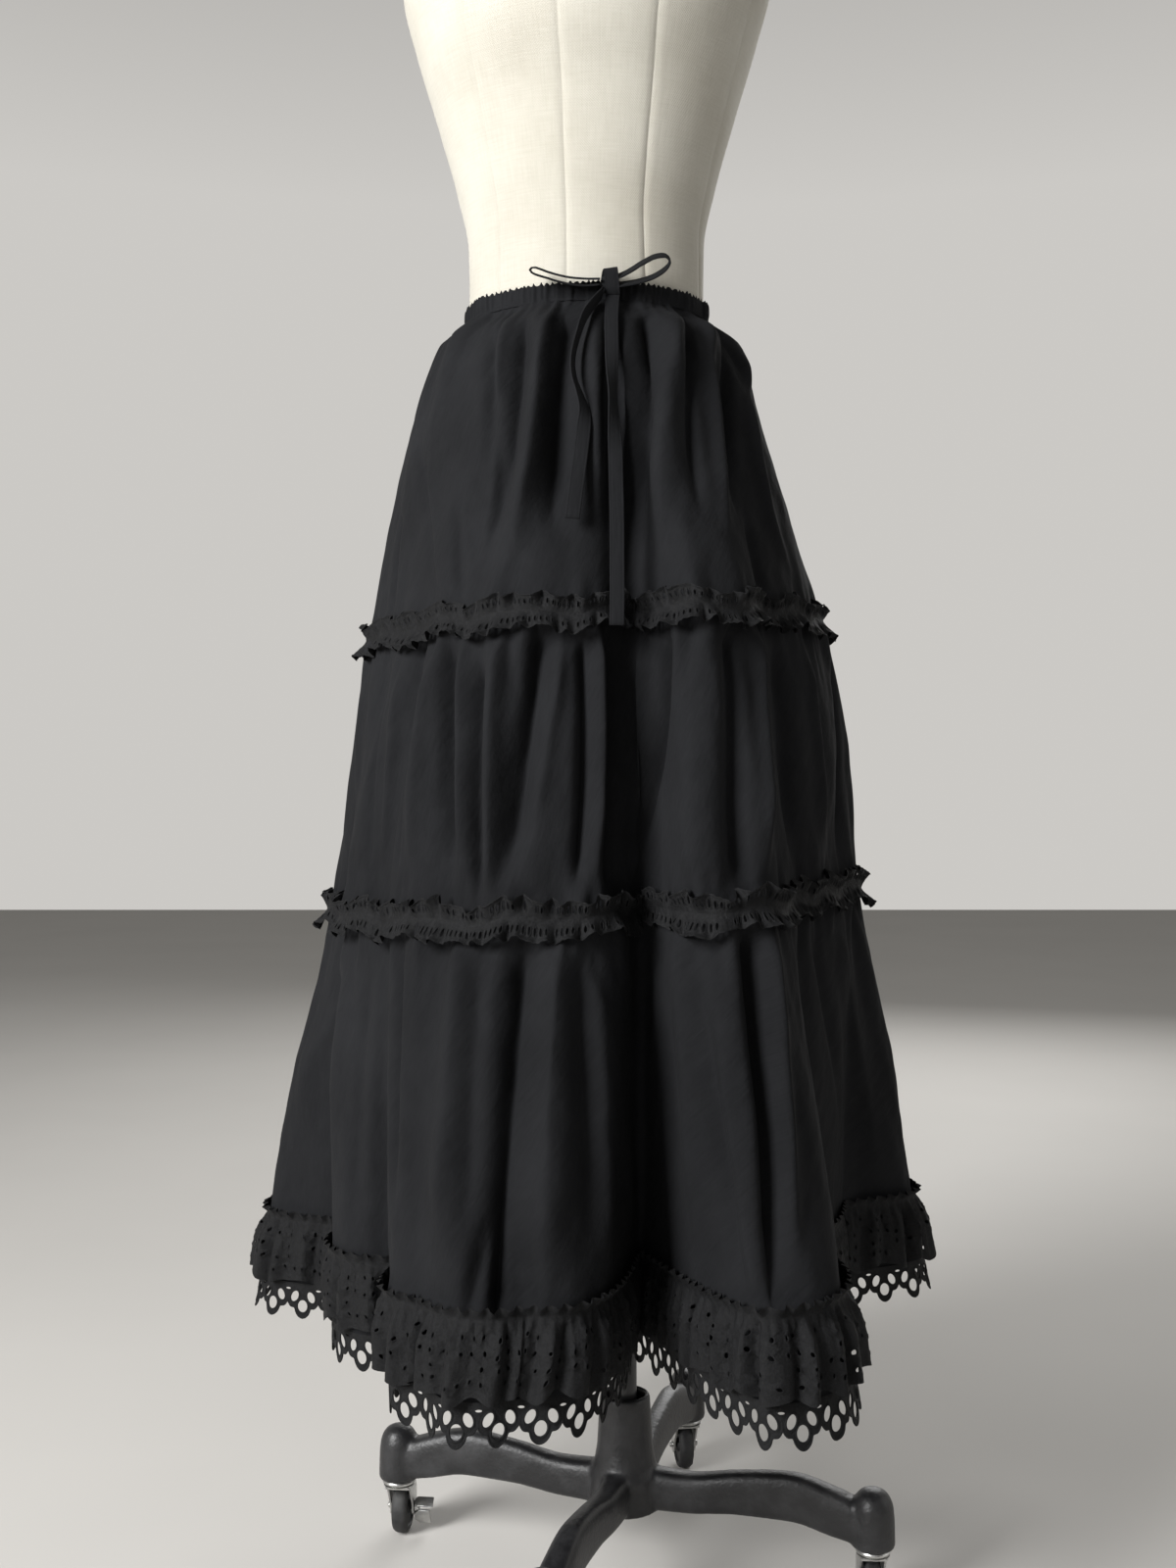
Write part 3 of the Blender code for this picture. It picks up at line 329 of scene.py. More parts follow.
# ------------------------------------------------------------------ finishes
class Nodes:
    """Short hand for writing one material's nodes."""

    def __init__(self, name: str) -> None:
        """Start a material with a Principled BSDF.

        Args:
            name: The material's name.
        """
        self.material = bpy.data.materials.new(name)
        self.material.use_nodes = True
        self.tree = self.material.node_tree
        self.shader = self.tree.nodes["Principled BSDF"]

    def add(self, kind: str, settings: dict | None = None, **inputs: object) -> bpy.types.Node:
        """Add a node.

        Args:
            kind: Its type, without the ShaderNode prefix.
            settings: Values of the node's own properties.
            **inputs: Values of its input sockets, with _ for a space.

        Returns:
            The node.
        """
        node = self.tree.nodes.new("ShaderNode" + kind)
        for key, value in (settings or {}).items():
            setattr(node, key, value)
        for key, value in inputs.items():
            node.inputs[key.replace("_", " ")].default_value = value
        return node

    def join(self, source: Socket, target: Socket) -> None:
        """Link two sockets."""
        self.tree.links.new(source, target)

    def math(self, operation: str, a: object, b: object = None) -> Socket:
        """One step of arithmetic.

        Args:
            operation: The Math node's operation.
            a: A socket or a number.
            b: A socket or a number, where the operation has two.

        Returns:
            The result's socket.
        """
        node = self.add("Math", {"operation": operation})
        for socket, value in zip(node.inputs, (a, b)):
            if isinstance(value, Socket):
                self.join(value, socket)
            elif value is not None:
                socket.default_value = value
        return node.outputs[0]

    def noise(self, where: Socket, scale: float, detail: float = 3.0) -> Socket:
        """Noise at a scale, in repeats a metre, as a socket from 0 to 1."""
        node = self.add("TexNoise", None, Scale=scale, Detail=detail, Roughness=0.55)
        self.join(where, node.inputs["Vector"])
        return node.outputs["Fac"]

    def stretched(self, where: Socket, scale: Triple) -> Socket:
        """A place, stretched on each axis."""
        node = self.add("Mapping", None, Scale=scale)
        self.join(where, node.inputs["Vector"])
        return node.outputs["Vector"]

    def object_place(self) -> Socket:
        """The place on the object, in metres."""
        return self.add("TexCoord").outputs["Object"]

    def weave_place(self) -> Socket:
        """The place on the cloth, in metres along and across."""
        return self.add("UVMap", {"uv_map": "weave"}).outputs["UV"]

    def threads(self, where: Socket, pitch: float) -> Socket:
        """A plain weave of threads at a pitch, as a height from 0 to 1."""
        split = self.add("SeparateXYZ")
        self.join(where, split.inputs[0])
        warp = self.math("SINE", self.math("MULTIPLY", split.outputs["X"], math.pi / pitch))
        weft = self.math("SINE", self.math("MULTIPLY", split.outputs["Y"], math.pi / pitch))
        crossing = self.math("MULTIPLY", warp, weft)
        return self.math("MULTIPLY_ADD", crossing, 0.5)

    def colour(self, share: Socket, low: float, high: float, dark: Triple, light: Triple) -> None:
        """Colour the surface between two colours, by where a share lies between low and high."""
        ramp = self.add("ValToRGB")
        ramp.color_ramp.elements[0].position = low
        ramp.color_ramp.elements[1].position = high
        ramp.color_ramp.elements[0].color = (*dark, 1.0)
        ramp.color_ramp.elements[1].color = (*light, 1.0)
        self.join(share, ramp.inputs["Fac"])
        self.join(ramp.outputs["Color"], self.shader.inputs["Base Color"])

    def rough(self, share: Socket, low: float, high: float) -> None:
        """Give the surface a roughness between two, by a share from 0 to 1."""
        node = self.add("MapRange", None, To_Min=low, To_Max=high)
        self.join(share, node.inputs["Value"])
        self.join(node.outputs["Result"], self.shader.inputs["Roughness"])

    def relief(self, layers: Sequence[tuple[Socket, float]]) -> None:
        """Stack bumps on the surface.

        Args:
            layers: Heights from 0 to 1, each with how deep it is in metres.
        """
        before = None
        for height, depth in layers:
            bump = self.add("Bump", None, Strength=1.0, Distance=depth)
            self.join(height, bump.inputs["Height"])
            if before is not None:
                self.join(before, bump.inputs["Normal"])
            before = bump.outputs["Normal"]
        self.join(before, self.shader.inputs["Normal"])

    def set(self, **values: object) -> None:
        """Set constant values on the shader's own sockets, with _ for a space."""
        for key, value in values.items():
            self.shader.inputs[key.replace("_", " ")].default_value = value


@dataclass(frozen=True)
class WovenCotton:
    """Black cotton: a fine plain weave with soft crumples and a faint bloom on its folds."""

    name: str = "black cotton"
    deep: Triple = (0.0064, 0.0066, 0.0074)
    worn: Triple = (0.0128, 0.0132, 0.0146)
    thread: float = 0.00045
    thread_depth: float = 0.00006
    crumple: float = 0.0008
    roughness: float = 0.92
    gloss: float = 0.12
    sheen: float = 0.002

    def make(self) -> Material:
        """Write the material."""
        nodes = Nodes(self.name)
        cloth = nodes.weave_place()
        place = nodes.object_place()
        drape = nodes.noise(nodes.stretched(cloth, (1.0, 0.30, 1.0)), 42.0, 5.0)
        crush = nodes.noise(place, 95.0, 4.0)
        slub = nodes.noise(nodes.stretched(cloth, (1.0, 0.06, 1.0)), 900.0, 2.0)
        fade = nodes.noise(place, 7.0, 3.0)
        tone = nodes.math("ADD", nodes.math("MULTIPLY", slub, 0.35), nodes.math("MULTIPLY", fade, 0.65))
        nodes.colour(tone, 0.32, 0.68, self.deep, self.worn)
        nodes.rough(crush, self.roughness - 0.06, self.roughness + 0.08)
        weave = nodes.threads(cloth, self.thread)
        nodes.relief(((drape, self.crumple * 2.2), (crush, self.crumple), (weave, self.thread_depth)))
        nodes.set(Sheen_Weight=self.sheen, Sheen_Roughness=0.5, Specular_IOR_Level=self.gloss)
        return nodes.material


@dataclass(frozen=True)
class SatinStitch:
    """Black cutwork: cotton under raised embroidery thread that catches a little light."""

    name: str = "black cutwork"
    deep: Triple = (0.0030, 0.0031, 0.0035)
    worn: Triple = (0.0088, 0.0090, 0.0099)
    roughness: float = 0.66
    gloss: float = 0.20
    sheen: float = 0.002

    def make(self) -> Material:
        """Write the material."""
        nodes = Nodes(self.name)
        place = nodes.object_place()
        fuzz = nodes.noise(place, 620.0, 3.0)
        strands = nodes.noise(nodes.stretched(place, (1.0, 1.0, 2.6)), 1500.0, 2.0)
        pucker = nodes.noise(place, 150.0, 3.0)
        nodes.colour(fuzz, 0.35, 0.70, self.deep, self.worn)
        nodes.rough(strands, self.roughness - 0.12, self.roughness + 0.15)
        nodes.relief(((pucker, 0.0011), (strands, 0.00045), (fuzz, 0.0003)))
        nodes.set(Sheen_Weight=self.sheen, Sheen_Roughness=0.45, Specular_IOR_Level=self.gloss)
        return nodes.material


@dataclass(frozen=True)
class LinenCover:
    """The form's ivory linen: a visible plain weave with slubs, and soft cloudy changes of tone."""

    name: str = "ivory linen"
    shade: Triple = (0.40, 0.375, 0.315)
    light: Triple = (0.48, 0.46, 0.40)
    thread: float = 0.0011

    def make(self) -> Material:
        """Write the material."""
        nodes = Nodes(self.name)
        cloth = nodes.weave_place()
        place = nodes.object_place()
        warp = nodes.noise(nodes.stretched(cloth, (1.0, 0.05, 1.0)), 700.0, 2.0)
        weft = nodes.noise(nodes.stretched(cloth, (0.05, 1.0, 1.0)), 700.0, 2.0)
        cloud = nodes.noise(place, 9.0, 3.0)
        slubs = nodes.math("ADD", nodes.math("MULTIPLY", warp, 0.5), nodes.math("MULTIPLY", weft, 0.5))
        tone = nodes.math("ADD", nodes.math("MULTIPLY", slubs, 0.5), nodes.math("MULTIPLY", cloud, 0.5))
        nodes.colour(tone, 0.36, 0.60, self.shade, self.light)
        nodes.rough(slubs, 0.80, 0.95)
        nodes.relief(((nodes.threads(cloth, self.thread), 0.00016), (slubs, 0.0003), (cloud, 0.002)))
        nodes.set(Sheen_Weight=0.15, Sheen_Roughness=0.6)
        return nodes.material


@dataclass(frozen=True)
class BlackPaint:
    """Black paint on metal or plastic: fine orange peel, dust and rubbed places."""

    name: str
    deep: Triple = (0.012, 0.012, 0.013)
    dusty: Triple = (0.040, 0.040, 0.042)
    roughness: float = 0.42
    peel: float = 0.0003
    peel_scale: float = 420.0
    coat: float = 0.0
    metallic: float = 0.0

    def make(self) -> Material:
        """Write the material."""
        nodes = Nodes(self.name)
        place = nodes.object_place()
        grain = nodes.noise(place, self.peel_scale, 3.0)
        dust = nodes.noise(place, 38.0, 6.0)
        nodes.colour(dust, 0.45, 0.85, self.deep, self.dusty)
        nodes.rough(dust, self.roughness - 0.08, self.roughness + 0.16)
        nodes.relief(((grain, self.peel),))
        nodes.set(Coat_Weight=self.coat, Coat_Roughness=0.25, Metallic=self.metallic)
        return nodes.material


@dataclass(frozen=True)
class Zinc:
    """Bright zinc plate, pressed sheet: fine scratches and dull patches."""

    name: str = "zinc plate"
    dull: Triple = (0.36, 0.36, 0.36)
    bright: Triple = (0.66, 0.66, 0.64)

    def make(self) -> Material:
        """Write the material."""
        nodes = Nodes(self.name)
        place = nodes.object_place()
        patches = nodes.noise(place, 60.0, 5.0)
        scratches = nodes.noise(nodes.stretched(place, (1.0, 1.0, 14.0)), 260.0, 3.0)
        nodes.colour(patches, 0.35, 0.65, self.dull, self.bright)
        nodes.rough(scratches, 0.20, 0.42)
        nodes.relief(((scratches, 0.00008), (patches, 0.0002)))
        nodes.set(Metallic=1.0)
        return nodes.material


class Palette:
    """Every finish of the piece, made once."""

    def __init__(self) -> None:
        """Write the materials."""
        self.cotton = WovenCotton().make()
        self.cutwork = SatinStitch().make()
        self.drawstring = WovenCotton(name="drawstring cotton", crumple=0.0004, thread=0.0005).make()
        self.linen = LinenCover().make()
        self.cap = BlackPaint("neck cap", roughness=0.35, peel=0.0001).make()
        self.pole = BlackPaint("pole paint", roughness=0.38, peel=0.0002).make()
        self.rod = BlackPaint("dark rod steel", roughness=0.25, peel=0.0001, metallic=0.7).make()
        self.cylinder = BlackPaint("cylinder paint", roughness=0.30, peel=0.0001, coat=0.3).make()
        self.casting = BlackPaint("cast base paint", roughness=0.40, peel=0.0005, peel_scale=260.0).make()
        self.zinc = Zinc().make()
        self.rubber = BlackPaint(
            "wheel rubber", roughness=0.62, peel=0.0003, dusty=(0.06, 0.06, 0.058)
        ).make()


# ------------------------------------------------------------------ the cloth's form
class ClothForm:
    """The skirt's middle surface: an ellipse at each height with the large folds on it."""

    def __init__(self) -> None:
        """Prepare the curves through LEVELS and the folds' columns."""
        rising = LEVELS[::-1]
        heights = [level.z for level in rising]
        columns = ("left", "right", "front", "back", "turn_deg", "rise")
        self.lines = {c: SmoothLine(heights, [getattr(level, c) for level in rising]) for c in columns}
        self.folds = {
            c: np.array([getattr(fold, c) for fold in FOLDS], float)
            for c in ("top_deg", "hem_deg", "seam_1", "seam_2", "hem")
        }
        self.measured: dict[float, tuple[Array, Array]] = {}

    def radius(self, bearing: Array, z: Array) -> Array:
        """The unfolded ellipse along a bearing at a height."""
        seen = bearing - np.radians(self.lines["turn_deg"].at(z))
        side, ahead = np.sin(seen), np.cos(seen)
        blend = eased(0.5 + side * 6.0)
        across = self.lines["left"].at(z) * (1 - blend) + self.lines["right"].at(z) * blend
        along = np.where(ahead > 0, self.lines["front"].at(z), self.lines["back"].at(z))
        return 1.0 / np.hypot(side / across, ahead / along)

    def fold(self, index: Array, z: Array) -> tuple[Array, Array]:
        """A fold's bearing and stand-out at a height.

        Args:
            index: Which fold; it may run past the table's ends.
            z: Height.

        Returns:
            The bearing in radians and the distance out in metres.
        """
        turns, row = np.divmod(index, WHOLE_RING)
        low = np.clip((SEAM_2 - z) / (SEAM_2 - HEM_TIP), 0, 1)
        middle = np.clip((SEAM_1 - z) / (SEAM_1 - SEAM_2), 0, 1)
        high = np.clip((CASING_FOOT - z) / (CASING_FOOT - SEAM_1), 0, 1)
        table = self.folds
        bearing = table["top_deg"][row] + (table["hem_deg"] - table["top_deg"])[row] * low + 360.0 * turns
        out = table["seam_1"][row] * high
        out = out + (table["seam_2"] - table["seam_1"])[row] * middle
        out = out + (table["hem"] - table["seam_2"])[row] * low
        return np.radians(bearing), out * MM

    def ring(self, turn: Array, z: Array) -> Array:
        """Points of the middle surface.

        Args:
            turn: Folds counted round the ring.
            z: Heights.

        Returns:
            The points, with x, y and z last.
        """
        turn, z = np.broadcast_arrays(np.asarray(turn, float), np.asarray(z, float))
        index = np.floor(turn).astype(int)
        share = turn - index
        bearing_a, out_a = self.fold(index, z)
        bearing_b, out_b = self.fold(index + 1, z)
        bearing = bearing_a + (bearing_b - bearing_a) * share
        reach = self.radius(bearing, z) + fold_out(out_a, out_b, share)
        height = z + self.lines["rise"].at(z) * np.sin(bearing)
        return np.stack((reach * np.sin(bearing), -reach * np.cos(bearing), height), axis=-1)

    def outward(self, turn: Array, z: Array) -> Array:
        """The level directions that point straight out of the middle surface."""
        step = 0.02
        along = self.ring(np.asarray(turn) + step, z) - self.ring(np.asarray(turn) - step, z)
        normal = np.stack((along[..., 1], -along[..., 0], np.zeros(along.shape[:-1])), axis=-1)
        return normal / np.linalg.norm(normal, axis=-1, keepdims=True)

    def room(self, turn: Array, z: Array) -> Array:
        """How freely gathers stand out: all of it on a crest, less deep in a valley."""
        turn, z = np.broadcast_arrays(np.asarray(turn, float), np.asarray(z, float))
        index = np.floor(turn).astype(int)
        out = fold_out(self.fold(index, z)[1], self.fold(index + 1, z)[1], turn - index)
        return 1.0 / (1.0 + np.maximum(0.0, -out) / SQUEEZE_DEPTH)

    def girth_table(self, z: float) -> tuple[Array, Array]:
        """Turns round the whole ring at a height, and the length up to each, measured once."""
        if z not in self.measured:
            turns = np.linspace(0.0, WHOLE_RING, WHOLE_RING * 48 + 1)
            points = self.ring(turns, z)
            steps = np.linalg.norm(np.diff(points, axis=0), axis=1)
            self.measured[z] = (turns, np.concatenate(([0.0], np.cumsum(steps))))
        return self.measured[z]

    def seen_turn(self, x: float, z: float) -> float:
        """The turn of the nearest cloth that the viewer sees at a place of the picture.

        Args:
            x: Metres right of the picture's middle, at the depth of the skirt's axis.
            z: Height of the ring.

        Returns:
            Its turn.
        """
        turns = np.linspace(LEFT_SEAM - 0.5, RIGHT_SEAM + 0.5, 1200)
        points = self.ring(turns, z)
        seen = points[:, 0] * CAMERA_BACK / (CAMERA_BACK + points[:, 1])
        gap = seen - x
        crossings = np.nonzero(gap[:-1] * gap[1:] <= 0)[0]
        if len(crossings) == 0:
            return float(turns[np.argmin(np.abs(gap))])
        return float(turns[crossings[np.argmin(points[crossings, 1])]])

    def bearing_turn(self, degrees: float, z: float) -> float:
        """The turn at a bearing and height."""
        turns = np.linspace(-WHOLE_RING / 2, WHOLE_RING * 1.5, 4000)
        index = np.floor(turns).astype(int)
        bearing_a = self.fold(index, np.full(turns.shape, z))[0]
        bearing_b = self.fold(index + 1, np.full(turns.shape, z))[0]
        bearing = np.degrees(bearing_a + (bearing_b - bearing_a) * (turns - index))
        return float(np.interp(degrees, bearing, turns))


FORM = ClothForm()


class Grid:
    """Rows and columns over part of the cloth, with the length round the ring at each point."""

    def __init__(self, first: float, last: float, heights: Array, pitch: float) -> None:
        """Lay out the grid.

        Args:
            first: Turn of the first column.
            last: Turn of the last column.
            heights: Height of each row, from the top down.
            pitch: About how far apart the columns stand.
        """
        turns, lengths = FORM.girth_table(float(np.mean(heights)))
        start, end = np.interp((first, last), turns, lengths)
        count = max(2, round((end - start) / pitch))
        self.turn = np.interp(np.linspace(start, end, count + 1), lengths, turns)
        self.z = np.asarray(heights, float)
        self.along = np.empty((len(self.z), len(self.turn)))
        self.girth = np.empty((len(self.z), 1))
        for row, z in enumerate(self.z):
            turns, lengths = FORM.girth_table(float(z))
            self.along[row] = np.interp(self.turn, turns, lengths)
            self.girth[row] = lengths[-1]
        self.down = np.repeat(self.z[:, None], len(self.turn), axis=1)
        self.points = FORM.ring(self.turn[None, :], self.z[:, None])
        self.outward = FORM.outward(self.turn[None, :], self.z[:, None])
        self.lift = np.zeros(self.along.shape)

    def off(self, centres: Array) -> Array:
        """How far each point lies along its ring from a line's turn on each row."""
        here = np.empty(len(self.z))
        for row, z in enumerate(self.z):
            turns, lengths = FORM.girth_table(float(z))
            here[row] = np.interp(centres[row] % WHOLE_RING, turns, lengths)
        gap = self.along - here[:, None]
        half = 0.5 * self.girth
        return (gap + half) % self.girth - half

    def build(self, name: str) -> Piece:
        """Make the mesh of the lifted grid."""
        points = self.points + self.outward * self.lift[..., None]
        weave = np.stack((self.along, self.down), axis=-1).reshape(-1, 2)
        return make_mesh(name, points.reshape(-1, 3), grid_faces(*self.along.shape), weave)


# ------------------------------------------------------------------ creases and gathers
class Placed(Enum):
    """How a crease's places along the cloth are given."""

    SEEN = "mm right of the middle, as the viewer sees it"
    BEARING = "degrees round from the viewer's side"


@dataclass(frozen=True)
class Crease:
    """One soft ridge (depth above 0) or trough (below 0): places at its top, middle and foot."""

    z_top: float
    z_foot: float
    top: float
    middle: float
    foot: float
    depth: float
    width: float
    steep: float = 1.0
    fade_top: float = 0.25
    fade_foot: float = 0.35
    placed: Placed = Placed.SEEN

    def lift(self, grid: Grid) -> Array:
        """How far the crease lifts each point of a grid, in metres."""
        reach = (self.z_top - self.z_foot) * MM
        share = (self.z_top * MM - grid.z) / reach
        places = (self.top, self.middle, self.foot)
        heights = [(self.z_top * MM) - reach * s for s in (0.0, 0.5, 1.0)]
        if self.placed is Placed.SEEN:
            turns = [FORM.seen_turn(x * MM, z) for x, z in zip(places, heights)]
        else:
            turns = [FORM.bearing_turn(b, z) for b, z in zip(places, heights)]
        clipped = np.clip(share, -0.1, 1.1)
        a, b, c = turns
        bend = a * (1 - clipped) * (
            1 - 2 * clipped
        ) + 4 * b * clipped * (1 - clipped) + c * clipped * (2 * clipped - 1)
        off = grid.off(bend)
        width = self.width * MM * np.where(off > 0, self.steep, 1.0)
        fade = eased(share / self.fade_top) * eased((1.0 - share) / self.fade_foot)
        return self.depth * MM * np.exp(-np.abs(off / width) ** 1.7) * fade[:, None]


class Side(Enum):
    """Which way gathers run from their seam."""

    BELOW = -1
    ABOVE = 1


@dataclass(frozen=True)
class Gathers:
    """Small pleats that run from a seam and die out, each unlike its neighbours."""

    seam: float
    side: Side
    spacing: float
    depth: float
    length: float
    seed: int
    rise_in: float = 10.0

    def lift(self, grid: Grid) -> Array:
        """How far the gathers lift each point of a grid, in metres."""
        draw = np.random.default_rng(self.seed)
        turns, lengths = FORM.girth_table(self.seam)
        away = np.maximum(0.0, self.side.value * (grid.z - self.seam))
        total = np.zeros(grid.along.shape)
        place = 0.0
        while place < lengths[-1]:
            place += self.spacing * MM * draw.uniform(0.55, 1.6)
            depth = self.depth * MM * draw.uniform(0.35, 1.25) * draw.choice((-1.0, -0.8, 0.7))
            length = self.length * MM * draw.uniform(0.35, 1.9)
            width = self.spacing * MM * draw.uniform(0.28, 0.5)
            lean = draw.uniform(-0.06, 0.06)
            turn = float(np.interp(place, lengths, turns))
            off = grid.off(np.full(len(grid.z), turn)) - (lean * away)[:, None]
            spread = width * (1.0 + 0.9 * away / length)
            fade = (0.4 + 0.6 * eased(away / (self.rise_in * MM))) * np.exp(-((away / length) ** 1.6))
            total += depth * np.exp(-((off / spread[:, None]) ** 2)) * fade[:, None]
        return total


def creases(placed: Placed, *rows: Sequence[float]) -> tuple[Crease, ...]:
    """Creases that are all placed alike, from rows of the other values of each, in order."""
    return tuple(Crease(*row, placed=placed) for row in rows)


# Creases of each tier, in mm. Ridges and troughs of the front are where the viewer sees them.
TIER_1_CREASES = creases(
    Placed.SEEN,
    (1176, 905, -84, -88, -110, -7.0, 9.0), (1180, 915, -66, -88, -106, 4.5, 6.0),
    (1182, 960, -52, -70, -92, -8.0, 7.0, 1.3), (1186, 925, -36, -50, -82, 8.0, 11.0, 0.8, 0.15),
    (1186, 940, -14, -26, -34, -10.0, 12.0, 1.0, 0.12), (1180, 960, 4, 6, 8, 6.0, 9.0),
    (1160, 930, 22, 22, 20, -4.0, 6.0), (1170, 950, 33, 34, 32, 4.5, 9.0),
    (1186, 905, 58, 50, 44, -9.0, 11.0, 0.9, 0.15), (1186, 930, 76, 72, 76, 6.5, 11.0, 1.2, 0.12),
    (1186, 960, 86, 98, 116, -5.5, 6.0, 1.0, 0.12), (1184, 940, 98, 120, 138, 5.5, 8.0, 1.0, 0.12),
    (1184, 960, 110, 132, 146, -6.0, 7.0), (1180, 920, 116, 158, 202, 5.0, 10.0),
    (1100, 905, -164, -152, -140, -3.5, 9.0), (1050, 905, -152, -146, -134, 3.0, 9.0),
    (1010, 900, -176, -184, -190, -4.0, 6.0), (1000, 902, -126, -122, -120, -3.0, 6.0),
    (980, 900, 150, 158, 166, -3.0, 7.0),
) + creases(
    Placed.BEARING,
    (1186, 930, 106, 108, 110, -7.0, 13.0, 1.0, 0.15, 0.35),
    (1186, 960, 124, 122, 123, 6.0, 12.0, 1.0, 0.15, 0.35),
    (1186, 910, 141, 143, 146, -8.0, 12.0, 1.0, 0.12, 0.35),
    (1186, 940, 158, 157, 154, 7.0, 10.0, 1.0, 0.15, 0.35),
    (1186, 920, 172, 173, 175, -6.5, 11.0, 1.0, 0.12, 0.35),
    (1186, 950, 190, 192, 196, 7.5, 12.0, 1.0, 0.15, 0.35),
    (1186, 910, 206, 209, 211, -8.5, 13.0, 1.0, 0.12, 0.35),
    (1186, 930, 226, 225, 222, 6.0, 11.0, 1.0, 0.15, 0.35),
    (1186, 950, 243, 244, 247, -6.0, 12.0, 1.0, 0.15, 0.35),
)
TIER_2_CREASES = creases(
    Placed.SEEN,
    (880, 660, -200, -216, -226, 3.0, 9.0), (880, 655, -186, -206, -214, -4.0, 6.0),
    (882, 660, -172, -190, -200, 4.5, 8.0), (884, 656, -158, -174, -182, -5.0, 6.0),
    (884, 670, -146, -160, -168, 4.5, 8.0), (886, 668, -134, -134, -132, -8.5, 8.0, 1.0, 0.15),
    (884, 656, -118, -122, -124, 5.5, 8.0), (870, 652, -104, -108, -106, -8.0, 5.5, 1.6, 0.2, 0.15),
    (884, 652, -84, -92, -96, 7.0, 11.0, 0.8, 0.15, 0.15),
    (886, 664, -40, -60, -82, -10.0, 12.0, 1.2, 0.12, 0.25), (884, 700, -22, -38, -58, 5.0, 8.0),
    (880, 652, -4, -2, -12, -7.5, 7.0, 1.2, 0.12, 0.2), (884, 660, 12, 14, 10, 5.0, 6.0, 1.0, 0.15),
    (884, 652, 30, 30, 24, -8.5, 9.0, 1.0, 0.12, 0.15), (880, 690, 50, 50, 44, 6.0, 8.0),
    (880, 680, 72, 66, 48, -9.5, 7.0, 0.7, 0.15, 0.25), (760, 654, 62, 50, 40, 4.0, 7.0),
    (884, 656, 98, 100, 104, 4.0, 18.0, 1.0, 0.15, 0.15),
    (886, 652, 138, 142, 148, -8.0, 9.0, 1.2, 0.12, 0.15),
    (886, 660, 160, 168, 172, 5.0, 7.0, 1.0, 0.15), (884, 656, 180, 190, 196, -6.5, 12.0),
    (880, 670, 206, 220, 228, 5.5, 9.0), (884, 656, 232, 240, 240, -5.0, 7.0),
) + creases(
    Placed.BEARING,
    (884, 660, 108, 110, 112, -7.0, 12.0, 1.0, 0.15, 0.3),
    (884, 670, 120, 121, 120, 6.0, 11.0, 1.0, 0.15, 0.3),
    (884, 655, 132, 130, 131, -7.5, 10.0, 1.0, 0.12, 0.2),
    (884, 690, 146, 148, 149, 6.5, 12.0, 1.0, 0.15, 0.3),
    (884, 654, 161, 160, 158, -8.0, 10.0, 1.2, 0.12, 0.2),
    (884, 660, 172, 174, 177, 6.0, 10.0, 1.0, 0.15, 0.25),
    (884, 656, 186, 187, 188, -6.0, 9.0, 1.0, 0.12, 0.25),
    (884, 680, 199, 197, 197, 7.0, 11.0, 1.0, 0.15, 0.3),
    (884, 654, 214, 213, 211, -8.5, 11.0, 0.8, 0.12, 0.2),
    (884, 670, 229, 231, 232, 6.0, 10.0, 1.0, 0.15, 0.3),
    (884, 656, 243, 242, 243, -7.0, 10.0, 1.0, 0.12, 0.25),
)
TIER_3_CREASES = creases(
    Placed.SEEN,
    (640, 420, -226, -244, -262, 3.0, 14.0), (636, 330, -206, -218, -222, -4.0, 9.0),
    (640, 330, -196, -204, -206, 3.0, 14.0), (640, 400, -184, -186, -186, -5.0, 7.0),
    (638, 380, -122, -130, -142, 6.0, 16.0, 0.8, 0.15), (640, 380, -102, -112, -118, -3.5, 9.0),
    (640, 300, -56, -74, -82, -14.0, 16.0, 0.8, 0.15, 0.2),
    (430, 300, -96, -112, -124, -5.0, 8.0, 1.0, 0.4), (420, 310, -66, -60, -66, -7.0, 9.0, 1.0, 0.4),
    (640, 340, -36, -36, -50, 8.0, 17.0, 1.0, 0.15), (636, 380, -12, 2, 6, -6.0, 12.0),
    (620, 330, 6, 14, 14, 5.0, 14.0), (640, 330, 88, 98, 110, 5.0, 15.0, 1.0, 0.15),
    (600, 330, 104, 126, 152, -6.0, 12.0, 1.0, 0.3), (560, 330, 122, 140, 164, 4.0, 10.0, 1.0, 0.3),
    (644, 340, 150, 172, 180, -12.0, 8.0, 1.4, 0.12, 0.25),
    (640, 380, 170, 186, 200, 7.0, 8.0, 1.0, 0.15), (640, 420, 214, 232, 240, -4.0, 10.0),
    (640, 340, 232, 256, 272, 4.0, 15.0),
) + creases(
    Placed.BEARING,
    (640, 360, 124, 123, 121, -6.0, 14.0, 1.0, 0.15, 0.3),
    (640, 320, 133, 134, 136, 7.0, 18.0, 1.0, 0.15, 0.3),
    (640, 340, 143, 146, 147, -9.0, 15.0, 1.0, 0.15, 0.3),
    (640, 330, 171, 168, 167, -8.0, 16.0, 1.2, 0.15, 0.3),
    (640, 340, 178, 180, 183, 7.0, 17.0, 1.0, 0.15, 0.3),
    (640, 310, 189, 192, 191, -10.0, 15.0, 0.8, 0.15, 0.3),
    (640, 360, 216, 218, 219, -6.0, 14.0, 1.0, 0.15, 0.3),
    (640, 320, 227, 226, 224, 8.0, 17.0, 1.0, 0.15, 0.3),
    (640, 350, 234, 235, 237, -7.0, 13.0, 1.0, 0.15, 0.3),
)


